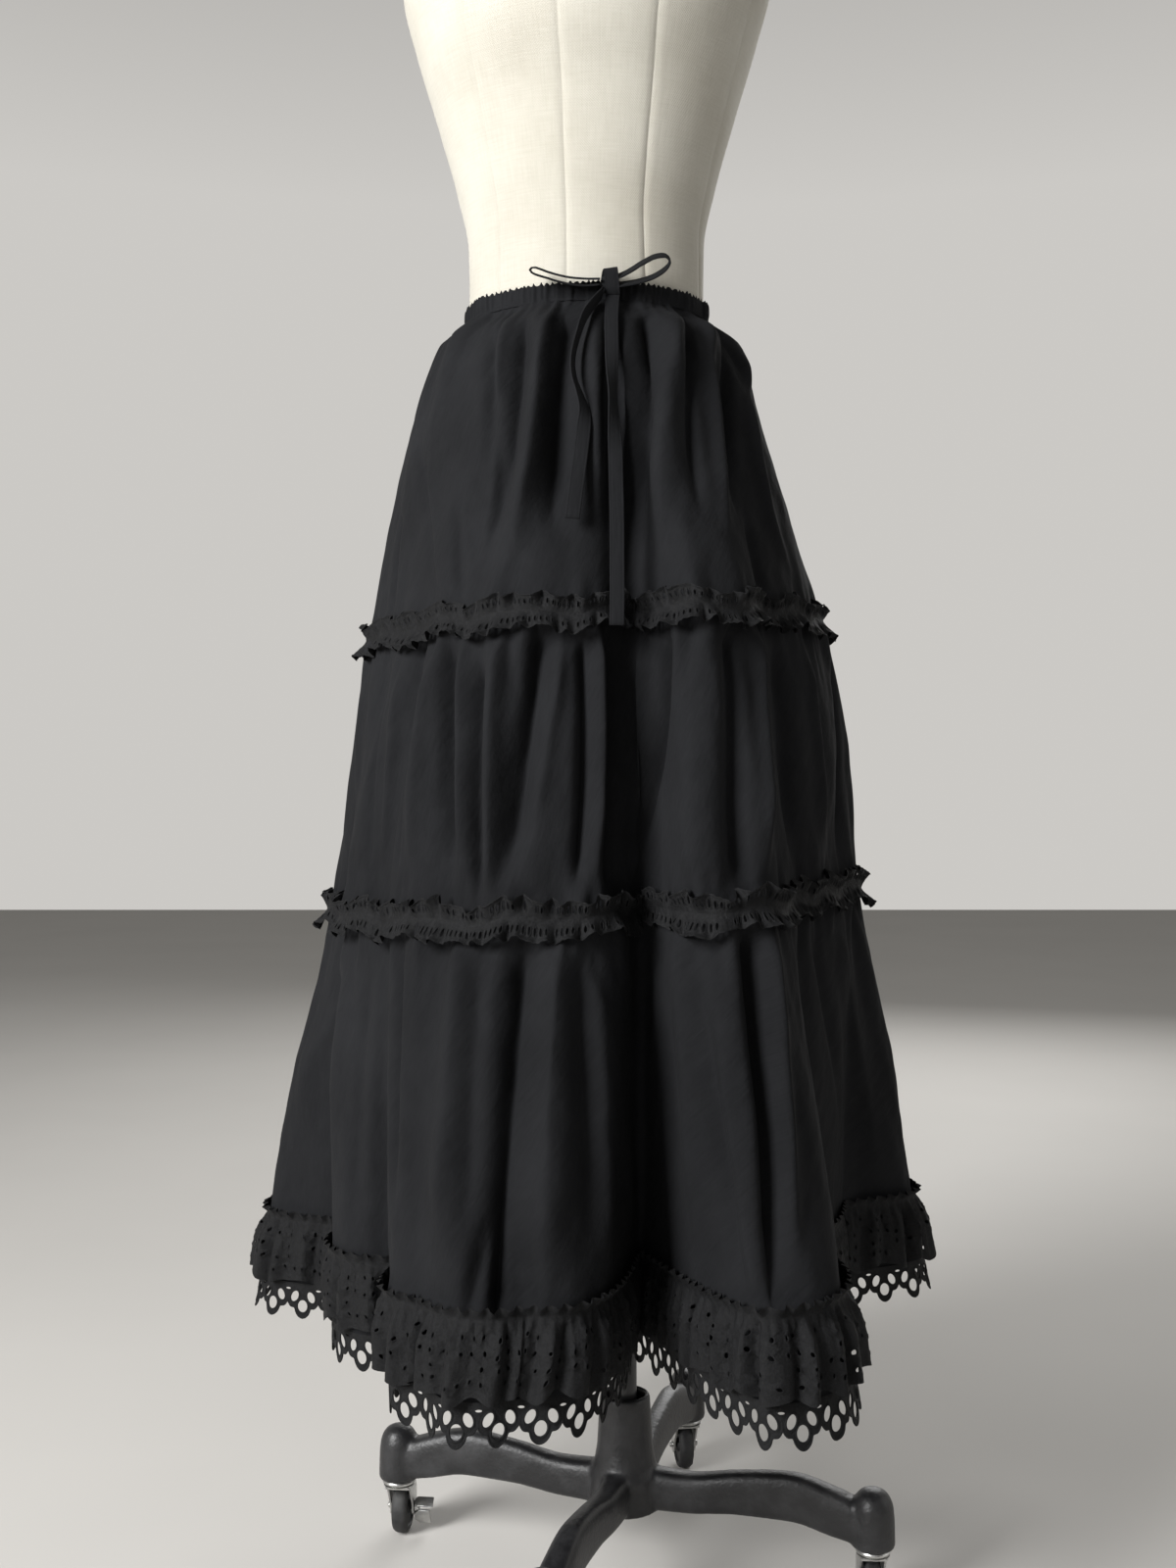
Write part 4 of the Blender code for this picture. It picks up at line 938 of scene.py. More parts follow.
@dataclass
class Tier:
    """One gathered tier, as a front and a back panel."""

    number: int
    top: float
    foot: float
    pitch: float
    rows: int
    creases: tuple[Crease, ...]
    gathers: tuple[Gathers, ...]
    flat_front: Pair
    flat_back: Pair
    swell: float = 1.0
    crumple: float = 0.25
    boldness: float = 1.75

    def heights(self) -> Array:
        """Row heights, closer together towards both seams."""
        share = np.linspace(0.0, 1.0, self.rows)
        return self.top + (self.foot - self.top) * (0.55 * share + 0.45 * eased(share))

    def shape(self, grid: Grid) -> None:
        """Lift a grid by every crease, gather and ripple of the tier."""
        for crease in self.creases:
            grid.lift += crease.lift(grid) * self.boldness
        for gathers in self.gathers:
            grid.lift += gathers.lift(grid)
        inside = eased((self.top - grid.down) / 0.03) * eased((grid.down - self.foot) / 0.03)
        soft = ripple(grid.along, grid.down, grid.girth, 0.085, 11 * self.number)
        fine = ripple(grid.along, grid.down, grid.girth, 0.022, 11 * self.number + 1)
        grid.lift += (soft * self.swell + fine * self.crumple) * MM * inside
        grid.lift *= FORM.room(grid.turn[None, :], grid.z[:, None])
        if self.number == 1:
            spare = 0.8 * MM + 0.45 * (CASING_FOOT - grid.down)
            grid.lift = np.maximum(grid.lift, -spare)

    def build(self, palette: Palette) -> list[Piece]:
        """Make both panels.

        Args:
            palette: The finishes.

        Returns:
            The front and the back panel.
        """
        made = []
        spans = (
            ("front", LEFT_SEAM, RIGHT_SEAM, self.flat_front),
            ("back", RIGHT_SEAM, WHOLE_RING, self.flat_back),
        )
        for side, first, last, flat in spans:
            grid = Grid(first, last, self.heights(), self.pitch)
            self.shape(grid)
            node = f"tier_{self.number}_{side}"
            panel = grid.build(f"{node}_cloth")
            put_in_scene(panel, "form", palette.cotton, (node,))
            made.append(panel)
        return made


# ------------------------------------------------------------------ cloth worked with eyelets
@dataclass(frozen=True)
class Eyelet:
    """A stitched hole in a cell: its centre in the cell, its size and its lean, in mm."""

    along: float
    up: float
    width: float
    height: float
    lean_deg: float = 0.0


class CellSheet:
    """A flat strip of cells that closes on itself, with an eyelet and its raised rim in some.

    Each cell is four by four quads, or two rings of quads round its hole.
    """

    SUB = 4

    def __init__(self, count: int, cell: float, heights: Sequence[float]) -> None:
        """Lay out the strip's corners.

        Args:
            count: Cells along it.
            cell: Length of a cell, mm.
            heights: Height of each row of cells from the top down, mm.
        """
        self.count, self.cell = count, cell
        self.edges = np.concatenate(([0.0], np.cumsum(heights)))
        self.columns = count * self.SUB
        down = np.concatenate(
            [np.linspace(a, b, self.SUB + 1)[:-1] for a, b in zip(self.edges, self.edges[1:])]
        )
        self.down = np.append(down, self.edges[-1])
        along = np.arange(self.columns) * cell / self.SUB
        mesh = np.stack(np.meshgrid(along, self.down, indexing="xy"), axis=-1).reshape(-1, 2)
        self.flat = [tuple(point) for point in mesh.tolist()]
        self.lift = [0.0] * len(self.flat)
        self.faces: list[tuple[int, int, int, int]] = []

    def corner(self, column: int, row: int) -> int:
        """The number of a corner of the lattice."""
        return row * self.columns + column % self.columns

    def plain(self, i: int, j: int) -> None:
        """Fill a cell with plain cloth."""
        for a in range(self.SUB):
            for b in range(self.SUB):
                column, row = i * self.SUB + a, j * self.SUB + b
                quad = ((column, row), (column, row + 1), (column + 1, row + 1), (column + 1, row))
                self.faces.append(tuple(self.corner(*place) for place in quad))

    def hole(self, i: int, j: int, eyelet: Eyelet, rim: float, raised: float) -> None:
        """Work an eyelet into a cell.

        Args:
            i: The cell along the strip.
            j: The cell down it.
            eyelet: The hole.
            rim: Width of its stitched rim, mm.
            raised: How far the rim stands proud, mm.
        """
        sub = self.SUB
        left, top = i * sub, j * sub
        border = [(left, top + k) for k in range(sub)]
        border += [(left + k, top + sub) for k in range(sub)]
        border += [(left + sub, top + sub - k) for k in range(sub)]
        border += [(left + sub - k, top) for k in range(sub)]
        centre_x = i * self.cell + eyelet.along
        centre_y = self.edges[j] + eyelet.up
        lean = math.radians(eyelet.lean_deg)
        loops = []
        for grown, height in ((0.0, -0.25), (0.55 * rim, raised), (rim, 0.0)):
            loop = []
            for column, row in border:
                x = column * self.cell / sub - centre_x
                y = self.down[row] - centre_y
                angle = math.atan2(y, x) - lean
                a, b = 0.5 * eyelet.width + grown, 0.5 * eyelet.height + grown
                reach = 1.0 / math.hypot(math.cos(angle) / a, math.sin(angle) / b)
                self.flat.append(
                    (centre_x + reach * math.cos(angle + lean), centre_y + reach * math.sin(angle + lean))
                )
                self.lift.append(height)
                loop.append(len(self.flat) - 1)
            loops.append(loop)
        loops.append([self.corner(*place) for place in border])
        for inner, outer in zip(loops, loops[1:]):
            for n in range(len(border)):
                m = (n + 1) % len(border)
                self.faces.append((outer[n], outer[m], inner[m], inner[n]))

    def hang(self, name: str, spread: Callable[[Array, Array, Array], Array]) -> Piece:
        """Make the mesh of the strip, hung by a function of its flat place.

        Args:
            name: The piece's name.
            spread: Gives the points for lengths along, lengths down and lifts, all in mm.

        Returns:
            The object.
        """
        flat = np.array(self.flat)
        lift = np.array(self.lift)
        used = np.unique(np.array(self.faces).ravel())
        renumber = np.full(len(flat), -1)
        renumber[used] = np.arange(len(used))
        faces = renumber[np.array(self.faces)]
        crinkle = np.random.default_rng(self.count).uniform(-0.22, 0.22, len(used))
        points = spread(flat[used, 0], flat[used, 1], lift[used] + crinkle)
        return make_mesh(name, points, faces, flat[used] * MM)


class RingHang:
    """Hangs a flat strip round the skirt at a seam, gathered to the seam's length."""

    def __init__(self, seam: float, flat_length: float) -> None:
        """Measure the ring.

        Args:
            seam: Height of the stitching.
            flat_length: The strip's length before it is gathered, mm.
        """
        self.turns, self.lengths = FORM.girth_table(seam)
        self.flat_length = flat_length
        self.girth = float(self.lengths[-1])

    def turn(self, along: Array) -> Array:
        """The turn where each length of the strip lies."""
        return np.interp((along / self.flat_length * self.girth) % self.girth, self.lengths, self.turns)

    def around(self, along: Array) -> Array:
        """The length round the ring where each length of the strip lies."""
        return along / self.flat_length * self.girth


@dataclass
class SeamRuffle:
    """A double-edged eyelet trim, gathered along its middle and stitched over a tier's seam."""

    number: int
    seam: float
    half: float
    flare_top: float
    flare_foot: float
    waves: int
    seed: int
    eyelet: Eyelet
    flat: Pair
    cell: float = 7.4
    swing: float = 6.2
    sag: float = 3.6

    def build(self, palette: Palette) -> Piece:
        """Make the trim.

        Args:
            palette: The finishes.

        Returns:
            The trim.
        """
        rows = (2.4, 8.4, 4.2, 4.2, 8.4, 2.4)
        count = round(self.flat[0] / (self.cell * MM))
        strip = CellSheet(count, self.cell, rows)
        draw = np.random.default_rng(self.seed)
        for i in range(count):
            for j in range(len(rows)):
                if j in (1, 4) and draw.uniform() < 0.86:
                    strip.hole(i, j, self.eyelet, 1.0, 0.45)
                else:
                    strip.plain(i, j)
        total = strip.edges[-1]
        hang = RingHang(self.seam, count * self.cell)

        def spread(along: Array, down: Array, lift: Array) -> Array:
            """Flare both edges out of the seam with their own waves."""
            turn, around = hang.turn(along), hang.around(along)
            v = 1.0 - 2.0 * down / total
            far = np.abs(v)
            upper = flutter(around, hang.girth, self.waves, self.seed)
            lower = flutter(around, hang.girth, self.waves + 7, self.seed + 1)
            wave = np.where(v > 0, upper, lower)
            slow = 0.5 + 0.5 * flutter(around, hang.girth, 19, self.seed + 5)
            flare = np.where(v > 0, self.flare_top, self.flare_foot) * (0.45 + 0.8 * slow)
            room = FORM.room(turn, np.full(turn.shape, self.seam))
            rim = 0.5 * eased((far - 0.88) / 0.08) - 0.6 * eased((far - 0.97) / 0.03)
            curl = 2.0 * np.sqrt(np.clip(0.5 + 0.42 * wave, 0.0, 1.0)) - 1.3
            out = 2.2 + (flare * far**1.3 + self.swing * curl * far**1.1) * room + rim + lift
            picots = 0.35 * np.sin(2 * np.pi * along / self.cell) * eased((far - 0.9) / 0.1)
            tilt = flutter(around, hang.girth, max(9, self.waves // 4), self.seed + 2)
            reach = self.half * (0.80 + 0.24 * slow - 0.16 * wave * far)
            height = reach * v + picots * np.sign(v) + self.sag * tilt
            z = self.seam + height * MM
            base = FORM.ring(turn, np.full(turn.shape, self.seam))
            base[:, 2] += z - self.seam
            slope = FORM.ring(turn, z) - FORM.ring(turn, np.full(turn.shape, self.seam))
            base[:, :2] += slope[:, :2]
            return base + FORM.outward(turn, z) * (out * MM)[:, None]

        trim = strip.hang(f"seam_ruffle_{self.number}_eyelet_trim", spread)
        put_in_scene(trim, "form", palette.cutwork, (f"seam_ruffle_{self.number}",))
        return trim


@dataclass
class Flounce:
    """The gathered eyelet flounce over the foot of the bottom tier, with a frilled heading."""

    flat: Pair = (3.36, 0.076)
    cell: float = 11.2
    heading: float = 8.5
    waves: int = 104
    seed: int = 77

    def build(self, palette: Palette) -> Piece:
        """Make the flounce.

        Args:
            palette: The finishes.

        Returns:
            The flounce.
        """
        rows = (self.heading, 9.0, 12.4, 12.4, 12.4, 12.4, 7.0)
        count = round(self.flat[0] / (self.cell * MM))
        strip = CellSheet(count, self.cell, rows)
        draw = np.random.default_rng(self.seed)
        for i in range(count):
            for j, tall in enumerate(rows):
                if 2 <= j <= 5 and draw.uniform() < 0.74:
                    side = draw.uniform(3.6, 7.6)
                    up = draw.uniform(4.2, tall - 4.2)
                    hole = Eyelet(
                        side, up, draw.uniform(1.8, 2.6), draw.uniform(3.2, 4.8), draw.uniform(-42, 42)
                    )
                    strip.hole(i, j, hole, 1.0, 0.55)
                else:
                    strip.plain(i, j)
        total = strip.edges[-1]
        top = FLOUNCE_HEADING + self.heading * MM
        hang = RingHang(FLOUNCE_HEADING, count * self.cell)

        def spread(along: Array, down: Array, lift: Array) -> Array:
            """Hang it in puckered gathers that open towards its foot."""
            turn, around = hang.turn(along), hang.around(along)
            below = np.maximum(0.0, (down - self.heading) / (total - self.heading))
            above = np.maximum(0.0, (self.heading - down) / self.heading)
            broad = flutter(around + below * 0.004, hang.girth, self.waves, self.seed)
            tight = flutter(around, hang.girth, self.waves * 3, self.seed + 1)
            frill = flutter(around, hang.girth, self.waves * 2, self.seed + 2)
            opening = eased(below / 0.30)
            pleat = 2.0 * np.sqrt(np.clip(0.5 + 0.42 * broad, 0.0, 1.0)) - 1.35
            wave = pleat * 8.8 * opening * (
                0.8 + 0.2 * below
            ) + tight * 2.0 * (1 - below) * eased(below / 0.1)
            flare = 6.5 * eased(below / 0.5)
            room = FORM.room(turn, np.full(turn.shape, 0.31))
            out = 2.6 + (flare + wave + (4.0 + 3.2 * frill) * above) * room + lift
            uneven = flutter(around, hang.girth, 61, self.seed + 3)
            fall = (down - self.heading) * (0.88 + 0.06 * uneven * below)
            teeth = 0.9 * np.sin(2 * np.pi * along / self.cell * 2.0) * eased((below - 0.9) / 0.1)
            z = FLOUNCE_HEADING - (fall + teeth + 1.6 * frill * above) * MM
            z = np.minimum(z, top)
            return FORM.ring(turn, z) + FORM.outward(turn, z) * (out * MM)[:, None]

        flounce = strip.hang("eyelet_flounce_cloth", spread)
        put_in_scene(flounce, "form", palette.cutwork, ("eyelet_flounce",))
        return flounce


@dataclass
class HemLace:
    """The scalloped cutwork border: one repeat worked flat, then hung round the hem."""

    pitch: float = 32.4
    height: float = 33.5
    rim: float = 1.05  # radius of the stitched rims, mm
    cloth: float = 0.35  # half the wall, mm
    holes: tuple[Eyelet, ...] = (
        Eyelet(16.2, 11.8, 10.2, 12.2), Eyelet(7.6, 20.8, 7.8, 11.4, -26),
        Eyelet(24.8, 20.8, 7.8, 11.4, 26),
    )
    slit: Eyelet = Eyelet(0.0, 27.6, 5.6, 2.3)  # the small one over each notch, half in each repeat
    edge: tuple[Pair, ...] = (
        (0.0, 16.2), (1.4, 13.6), (3.0, 11.4), (5.0, 10.3), (7.2, 10.6), (8.5, 9.6), (9.1, 7.0),
        (10.6, 3.8), (13.2, 1.2), (16.2, 0.2), (19.2, 1.2), (21.8, 3.8), (23.3, 7.0), (23.9, 9.6),
        (25.2, 10.6), (27.4, 10.3), (29.4, 11.4), (31.0, 13.6), (32.4, 16.2),
    )
    sides: int = 20
    edge_points: int = 43
    cord_sides: int = 6
    spans: tuple[tuple[str, int, int, Pair], ...] = (
        ("front", LEFT_SEAM, RIGHT_SEAM, (1.40, 0.034)), ("back", RIGHT_SEAM, WHOLE_RING, (1.13, 0.034))
    )

    def hole_loop(self, hole: Eyelet, grown: float) -> list[Pair]:
        """The points of a hole's outline, moved out by some mm."""
        lean = math.radians(hole.lean_deg)
        loop = []
        for n in range(self.sides):
            angle = 2 * math.pi * n / self.sides
            x = (0.5 * hole.width + grown) * math.cos(angle)
            y = (0.5 * hole.height + grown) * math.sin(angle)
            along = hole.along + x * math.cos(lean) - y * math.sin(lean)
            up = hole.up + x * math.sin(lean) + y * math.cos(lean)
            loop.append((along, up))
        return loop

    def half_slit(self, grown: float, right: bool) -> list[Pair]:
        """Half of the small eyelet, from its top down, at one end of a repeat."""
        points = []
        for n in range(9):
            angle = math.pi * (0.5 - n / 8)
            x = (0.5 * self.slit.width + grown) * math.cos(angle)
            y = self.slit.up + (0.5 * self.slit.height + grown) * math.sin(angle)
            points.append((self.pitch - x if right else x, y))
        return points

    def edge_line(self) -> list[Pair]:
        """The scalloped foot as a smooth line from one notch to the next."""
        points = np.array(self.edge)
        places = np.concatenate(([0.0], np.cumsum(np.linalg.norm(np.diff(points, axis=0), axis=1))))
        fine = np.linspace(0.0, places[-1], self.edge_points)
        smooth = [np.interp(fine, places, points[:, axis]) for axis in (0, 1)]
        for axis in (0, 1):
            inner = smooth[axis]
            inner[1:-1] = 0.25 * inner[:-2] + 0.5 * inner[1:-1] + 0.25 * inner[2:]
        return list(zip(*[line.tolist() for line in smooth]))

    def cord(self, line: list[Pair], closed: bool, radius: float) -> tuple[list, list]:
        """A stitched rim along a flat line.

        Args:
            line: Its points.
            closed: Whether it joins up.
            radius: Half its width.

        Returns:
            Points (along, up, lift) and quads.
        """
        points = np.array(line)
        if closed:
            ahead = np.roll(points, -1, axis=0) - np.roll(points, 1, axis=0)
        else:
            ahead = np.gradient(points, axis=0)
        ahead /= np.linalg.norm(ahead, axis=1, keepdims=True)
        side = np.stack((-ahead[:, 1], ahead[:, 0]), axis=1)
        section = self.cord_sides
        made = []
        for point, across in zip(points, side):
            for n in range(section):
                angle = 2 * math.pi * n / section
                flat = point + across * radius * math.cos(angle)
                made.append((float(flat[0]), float(flat[1]), radius * 0.85 * math.sin(angle)))
        count = len(points)
        quads = []
        for n in range(count if closed else count - 1):
            m = (n + 1) % count
            for k in range(section):
                j = (k + 1) % section
                quads.append((n * section + k, n * section + j, m * section + j, m * section + k))
        return made, quads

    def repeat(self) -> tuple[Array, list]:
        """One repeat of the lace, flat.

        Returns:
            Points (along, up, lift) in mm and the faces.
        """
        flat = bmesh.new()
        edge = self.edge_line()
        corners = [(self.pitch, self.height), (self.pitch / 2, self.height), (0.0, self.height)]
        around = [*edge, *self.half_slit(0.0, True)[::-1], *corners, *self.half_slit(0.0, False)]
        loops = [around] + [self.hole_loop(hole, 0.0) for hole in self.holes]
        edges = []
        for loop in loops:
            verts = [flat.verts.new((x, y, 0.0)) for x, y in loop]
            edges += [flat.edges.new((a, b)) for a, b in zip(verts, verts[1:] + verts[:1])]
        bmesh.ops.triangle_fill(flat, use_beauty=True, use_dissolve=False, edges=edges)
        flat.verts.index_update()
        web = [(v.co.x, v.co.y) for v in flat.verts]
        faces = [[v.index for v in f.verts] for f in flat.faces]
        flat.free()
        points = [(x, y, self.cloth) for x, y in web] + [(x, y, -self.cloth) for x, y in web]
        quads = [*faces, *[[n + len(web) for n in reversed(face)] for face in faces]]
        rims = [self.cord(self.hole_loop(hole, 0.7 * self.rim), True, self.rim) for hole in self.holes]
        rims.append(self.cord(edge, False, 0.85 * self.rim))
        rims += [self.cord(self.half_slit(0.4, right), False, 0.6 * self.rim) for right in (True, False)]
        for made, made_quads in rims:
            start = len(points)
            points += made
            quads += [[n + start for n in quad] for quad in made_quads]
        return np.array(points), quads

    def build(self, palette: Palette) -> list[Piece]:
        """Hang the lace, front and back.

        Args:
            palette: The finishes.

        Returns:
            Both lengths of lace.
        """
        points, quads = self.repeat()
        made = []
        turns, lengths = FORM.girth_table(HEM_TIP + 0.5 * LACE_HEIGHT)
        for side, first, last, flat in self.spans:
            start, end = np.interp((first, last), turns, lengths)
            count = round((end - start) / (self.pitch * MM))
            many = np.concatenate([points + np.array((n * self.pitch, 0, 0)) for n in range(count)])
            faces = [[c + n * len(points) for c in quad] for n in range(count) for quad in quads]
            around = start + (end - start) * np.clip(many[:, 0] / (count * self.pitch), 0.0, 1.0)
            turn = np.interp(around, lengths, turns)
            z = HEM_TIP + many[:, 1] * MM
            low = 1.0 - many[:, 1] / self.height
            sway = flutter(around, float(lengths[-1]), 64, 5) * 1.6 * low
            room = FORM.room(turn, z)
            out = (many[:, 2] + sway * room) * MM
            hung = FORM.ring(turn, z) + FORM.outward(turn, z) * out[:, None]
            node = f"hem_lace_{side}"
            lace = make_mesh(f"{node}_cutwork", hung, faces, many[:, :2] * MM)
            put_in_scene(lace, "form", palette.cutwork, (node,))
            made.append(lace)
        return made


@dataclass
class WaistCasing:
    """The narrow channel at the waist, drawn up in fine gathers over its drawstring."""

    pitch: float = 0.0011
    ruching: float = 1.2  # how much of the top tier's gathers it takes up
    profile: tuple[Triple, ...] = (
        (-0.5, 0.0, 0.1), (-0.5, 0.45, 0.2), (-0.5, 0.85, 0.4), (-0.1, 0.99, 0.6), (0.4, 1.03, 0.8),
        (0.9, 0.99, 0.9), (1.3, 0.86, 1.0), (1.4, 0.70, 1.0), (1.4, 0.54, 1.0), (1.3, 0.38, 1.0),
        (1.0, 0.24, 1.0), (0.6, 0.10, 0.9), (0.3, -0.02, 0.8), (0.1, -0.12, 0.6),
    )

    def build(self, palette: Palette, gathers: Sequence[Gathers]) -> Piece:
        """Make the casing.

        Args:
            palette: The finishes.
            gathers: The top tier's gathers, which run on through it.

        Returns:
            The casing.
        """
        grid = Grid(0, WHOLE_RING, np.array([WAIST_TOP, CASING_FOOT]), self.pitch)
        turn, around = grid.turn[:-1], grid.along[0, :-1]
        girth = float(grid.girth[0, 0])
        wave = sum(g.lift(grid)[1, :-1] for g in gathers) / MM * self.ruching
        wave = wave + 0.8 * flutter(around, girth, 104, 31)
        frill = flutter(around, girth, 119, 32)
        tall = WAIST_TOP - CASING_FOOT + 0.0015
        rows, cloth = [], []
        for n, (out, up, share) in enumerate(self.profile):
            z = CASING_FOOT - 0.001 + tall * up
            at = np.full(turn.shape, z)
            point = FORM.ring(turn, at)
            point[:, 2] += 0.0014 * frill * max(0.0, up - 0.5) * 2.0
            moved = np.maximum(out + wave * share, -0.6 if up > 0.2 else -0.9) * MM
            rows.append(point + FORM.outward(turn, at) * moved[:, None])
            cloth.append(np.stack((around, np.full(turn.shape, n * 0.003)), axis=-1))
        faces = [face[::-1] for face in grid_faces(len(rows), len(turn), closed=True)]
        casing = make_mesh("waist_casing_cloth", np.concatenate(rows), faces, np.concatenate(cloth))
        put_in_scene(casing, "form", palette.cotton, ("waist_casing",))
        return casing


# ------------------------------------------------------------------ drawstring
@dataclass(frozen=True)
class BandPoint:
    """Where a tail hangs: x, distance out of the unfolded cloth, height, and its band's turn."""

    x: float
    out: float
    z: float
    turn_deg: float


@dataclass
class Drawstring:
    """The flat cotton band: its bow at centre front and its two free ends."""

    width: float = 0.0125
    thick: float = 0.0015
    knot: Triple = (0.018, -0.0984, 1.1935)
    left_tail: tuple[BandPoint, ...] = (
        BandPoint(0.0125, 0.0092, 1.1853, 80), BandPoint(-0.002, 0.0122, 1.159, 70),
        BandPoint(-0.009, 0.0127, 1.137, 75), BandPoint(-0.013, 0.0127, 1.116, 75),
        BandPoint(-0.012, 0.0122, 1.098, 70), BandPoint(-0.007, 0.0122, 1.081, 60),
        BandPoint(-0.003, 0.0115, 1.066, 40), BandPoint(-0.004, 0.0110, 1.048, 10),
        BandPoint(-0.007, 0.0110, 1.020, 0), BandPoint(-0.010, 0.0115, 0.995, 0),
        BandPoint(-0.013, 0.0120, 0.970, 0),
    )
    right_tail: tuple[BandPoint, ...] = (
        BandPoint(0.0222, 0.0080, 1.1852, 0), BandPoint(0.0205, 0.0066, 1.160, 0),
        BandPoint(0.0205, 0.0085, 1.130, 10), BandPoint(0.0205, 0.0100, 1.105, 35),
        BandPoint(0.0210, 0.0110, 1.080, 55), BandPoint(0.0220, 0.0105, 1.055, 35),
        BandPoint(0.0230, 0.0100, 1.030, 5), BandPoint(0.0235, 0.0100, 1.000, 0),
        BandPoint(0.0240, 0.0080, 0.965, 0), BandPoint(0.0240, 0.0045, 0.930, 0),
        BandPoint(0.0240, 0.0030, 0.905, 0), BandPoint(0.0235, 0.0030, 0.880, 0),
    )
    over_fold: tuple[tuple[float, float, float, float], ...] = (  # x, y, z and lean, in degrees
        (-0.0010, 0.0048, 0.0010, 0),
        (0.0000, 0.0040, 0.0080, 6),
        (0.0012, 0.0018, 0.0128, 10),
        (0.0020, -0.0020, 0.0134, 8),
        (0.0026, -0.0050, 0.0090, 4),
        (0.0032, -0.0058, 0.0020, 0),
        (0.0038, -0.0052, -0.0050, 0),
        (0.0041, -0.0026, -0.0095, 0),
    )
    left_loop: tuple[Triple, ...] = (
        (-0.0073, -0.0029, -0.0010), (-0.022, -0.0029, -0.0020), (-0.038, -0.0029, 0.0000),
        (-0.054, -0.0029, 0.0045), (-0.066, -0.0029, 0.0085), (-0.069, -0.0029, 0.0120),
        (-0.065, -0.0029, 0.0140), (-0.052, -0.0029, 0.0095), (-0.036, -0.0029, 0.0055),
        (-0.020, -0.0029, 0.0040), (-0.0073, -0.0029, 0.0040),
    )
    right_loop: tuple[Triple, ...] = (
        (0.0075, -0.0010, 0.0060), (0.018, -0.0010, 0.0110), (0.030, -0.0010, 0.0185),
        (0.041, -0.0010, 0.0240), (0.050, -0.0010, 0.0250), (0.054, -0.0010, 0.0200),
        (0.050, -0.0010, 0.0130), (0.040, -0.0010, 0.0065), (0.026, -0.0010, 0.0020),
        (0.0075, -0.0010, -0.0010),
    )

    @staticmethod
    def smooth_route(points: Array, count: int) -> Array:
        """A smooth curve through points, read at even steps.

        Args:
            points: N rows of values.
            count: How many rows to read.

        Returns:
            The rows read.
        """
        steps = np.linalg.norm(np.diff(points[:, :3], axis=0), axis=1)
        places = np.concatenate(([0.0], np.cumsum(steps)))
        padded = np.vstack((2 * points[0] - points[1], points, 2 * points[-1] - points[-2]))
        read = []
        for place in np.linspace(0.0, places[-1], count):
            n = min(int(np.searchsorted(places, place, side="right")) - 1, len(points) - 2)
            t = (place - places[n]) / (places[n + 1] - places[n])
            a, b, c, d = padded[n : n + 4]
            curve = 2 * b + (c - a) * t
            curve = curve + (2 * a - 5 * b + 4 * c - d) * t * t + (3 * b - a - 3 * c + d) * t**3
            read.append(0.5 * curve)
        return np.array(read)

    def band(self, name: str, centres: Array, across: Array) -> Piece:
        """A flat band with soft edges and a line of stitching sunk along each.

        Args:
            name: The piece's name.
            centres: Its centre line.
            across: The direction of its width at each point.

        Returns:
            The band.
        """
        shares = np.array((-1.0, -0.97, -0.80, -0.74, -0.68, -0.3, 0.3, 0.68, 0.74, 0.80, 0.97, 1.0))
        thick = np.array((0.35, 0.85, 1.0, 0.78, 0.95, 0.95, 0.95, 0.95, 0.78, 1.0, 0.85, 0.35))
        ahead = np.gradient(centres, axis=0)
        ahead /= np.linalg.norm(ahead, axis=1, keepdims=True)
        across = across - ahead * np.sum(across * ahead, axis=1, keepdims=True)
        across /= np.linalg.norm(across, axis=1, keepdims=True)
        normal = np.cross(across, ahead)
        rounds = list(zip(shares, thick))
        rounds += [(share, -height) for share, height in rounds[::-1]]
        sides = len(rounds)
        wobble = 1.0 + 0.03 * np.sin(np.arange(len(centres)) * 0.9)
        points, cloth = [], []
        for n, centre in enumerate(centres):
            for share, height in rounds:
                sideways = across[n] * (share * 0.5 * self.width * 0.985)
                points.append(centre + sideways + normal[n] * (height * 0.5 * self.thick * wobble[n]))
                cloth.append((share * 0.006, n * 0.003))
        faces = [face[::-1] for face in grid_faces(len(centres), sides, closed=True)]
        faces.append(list(range(sides))[::-1])
        faces.append(list(range(sides * (len(centres) - 1), sides * len(centres))))
        return make_mesh(name, np.array(points), faces, np.array(cloth))

    def front_of_cloth(self, x: float, z: float) -> float:
        """The y of the unfolded cloth before the viewer, on the straight lines between LEVELS."""
        rising = LEVELS[::-1]
        heights = [level.z for level in rising]
        ahead = float(np.interp(z, heights, [level.front for level in rising]))
        across = float(np.interp(z, heights, [level.right for level in rising]))
        return -ahead * math.sqrt(max(0.0, 1.0 - (x / across) ** 2))

    def build_tail(self, side: str, table: Sequence[BandPoint], palette: Palette) -> Piece:
        """One free end, a flat band.

        Args:
            side: "left" or "right".
            table: Its route.
            palette: The finishes.

        Returns:
            The tail.
        """
        rows = np.array([(p.x, self.front_of_cloth(p.x, p.z) - p.out, p.z, p.turn_deg) for p in table])
        route = self.smooth_route(rows, 72)
        turn = np.radians(route[:, 3])
        across = np.stack((np.cos(turn), np.sin(turn), np.zeros(len(turn))), axis=1)
        centres = route[:, :3]
        name = f"drawstring_tail_{side}"
        tail = self.band(f"{name}_band", centres, across)
        put_in_scene(tail, "form", palette.drawstring, (name,))
        return tail

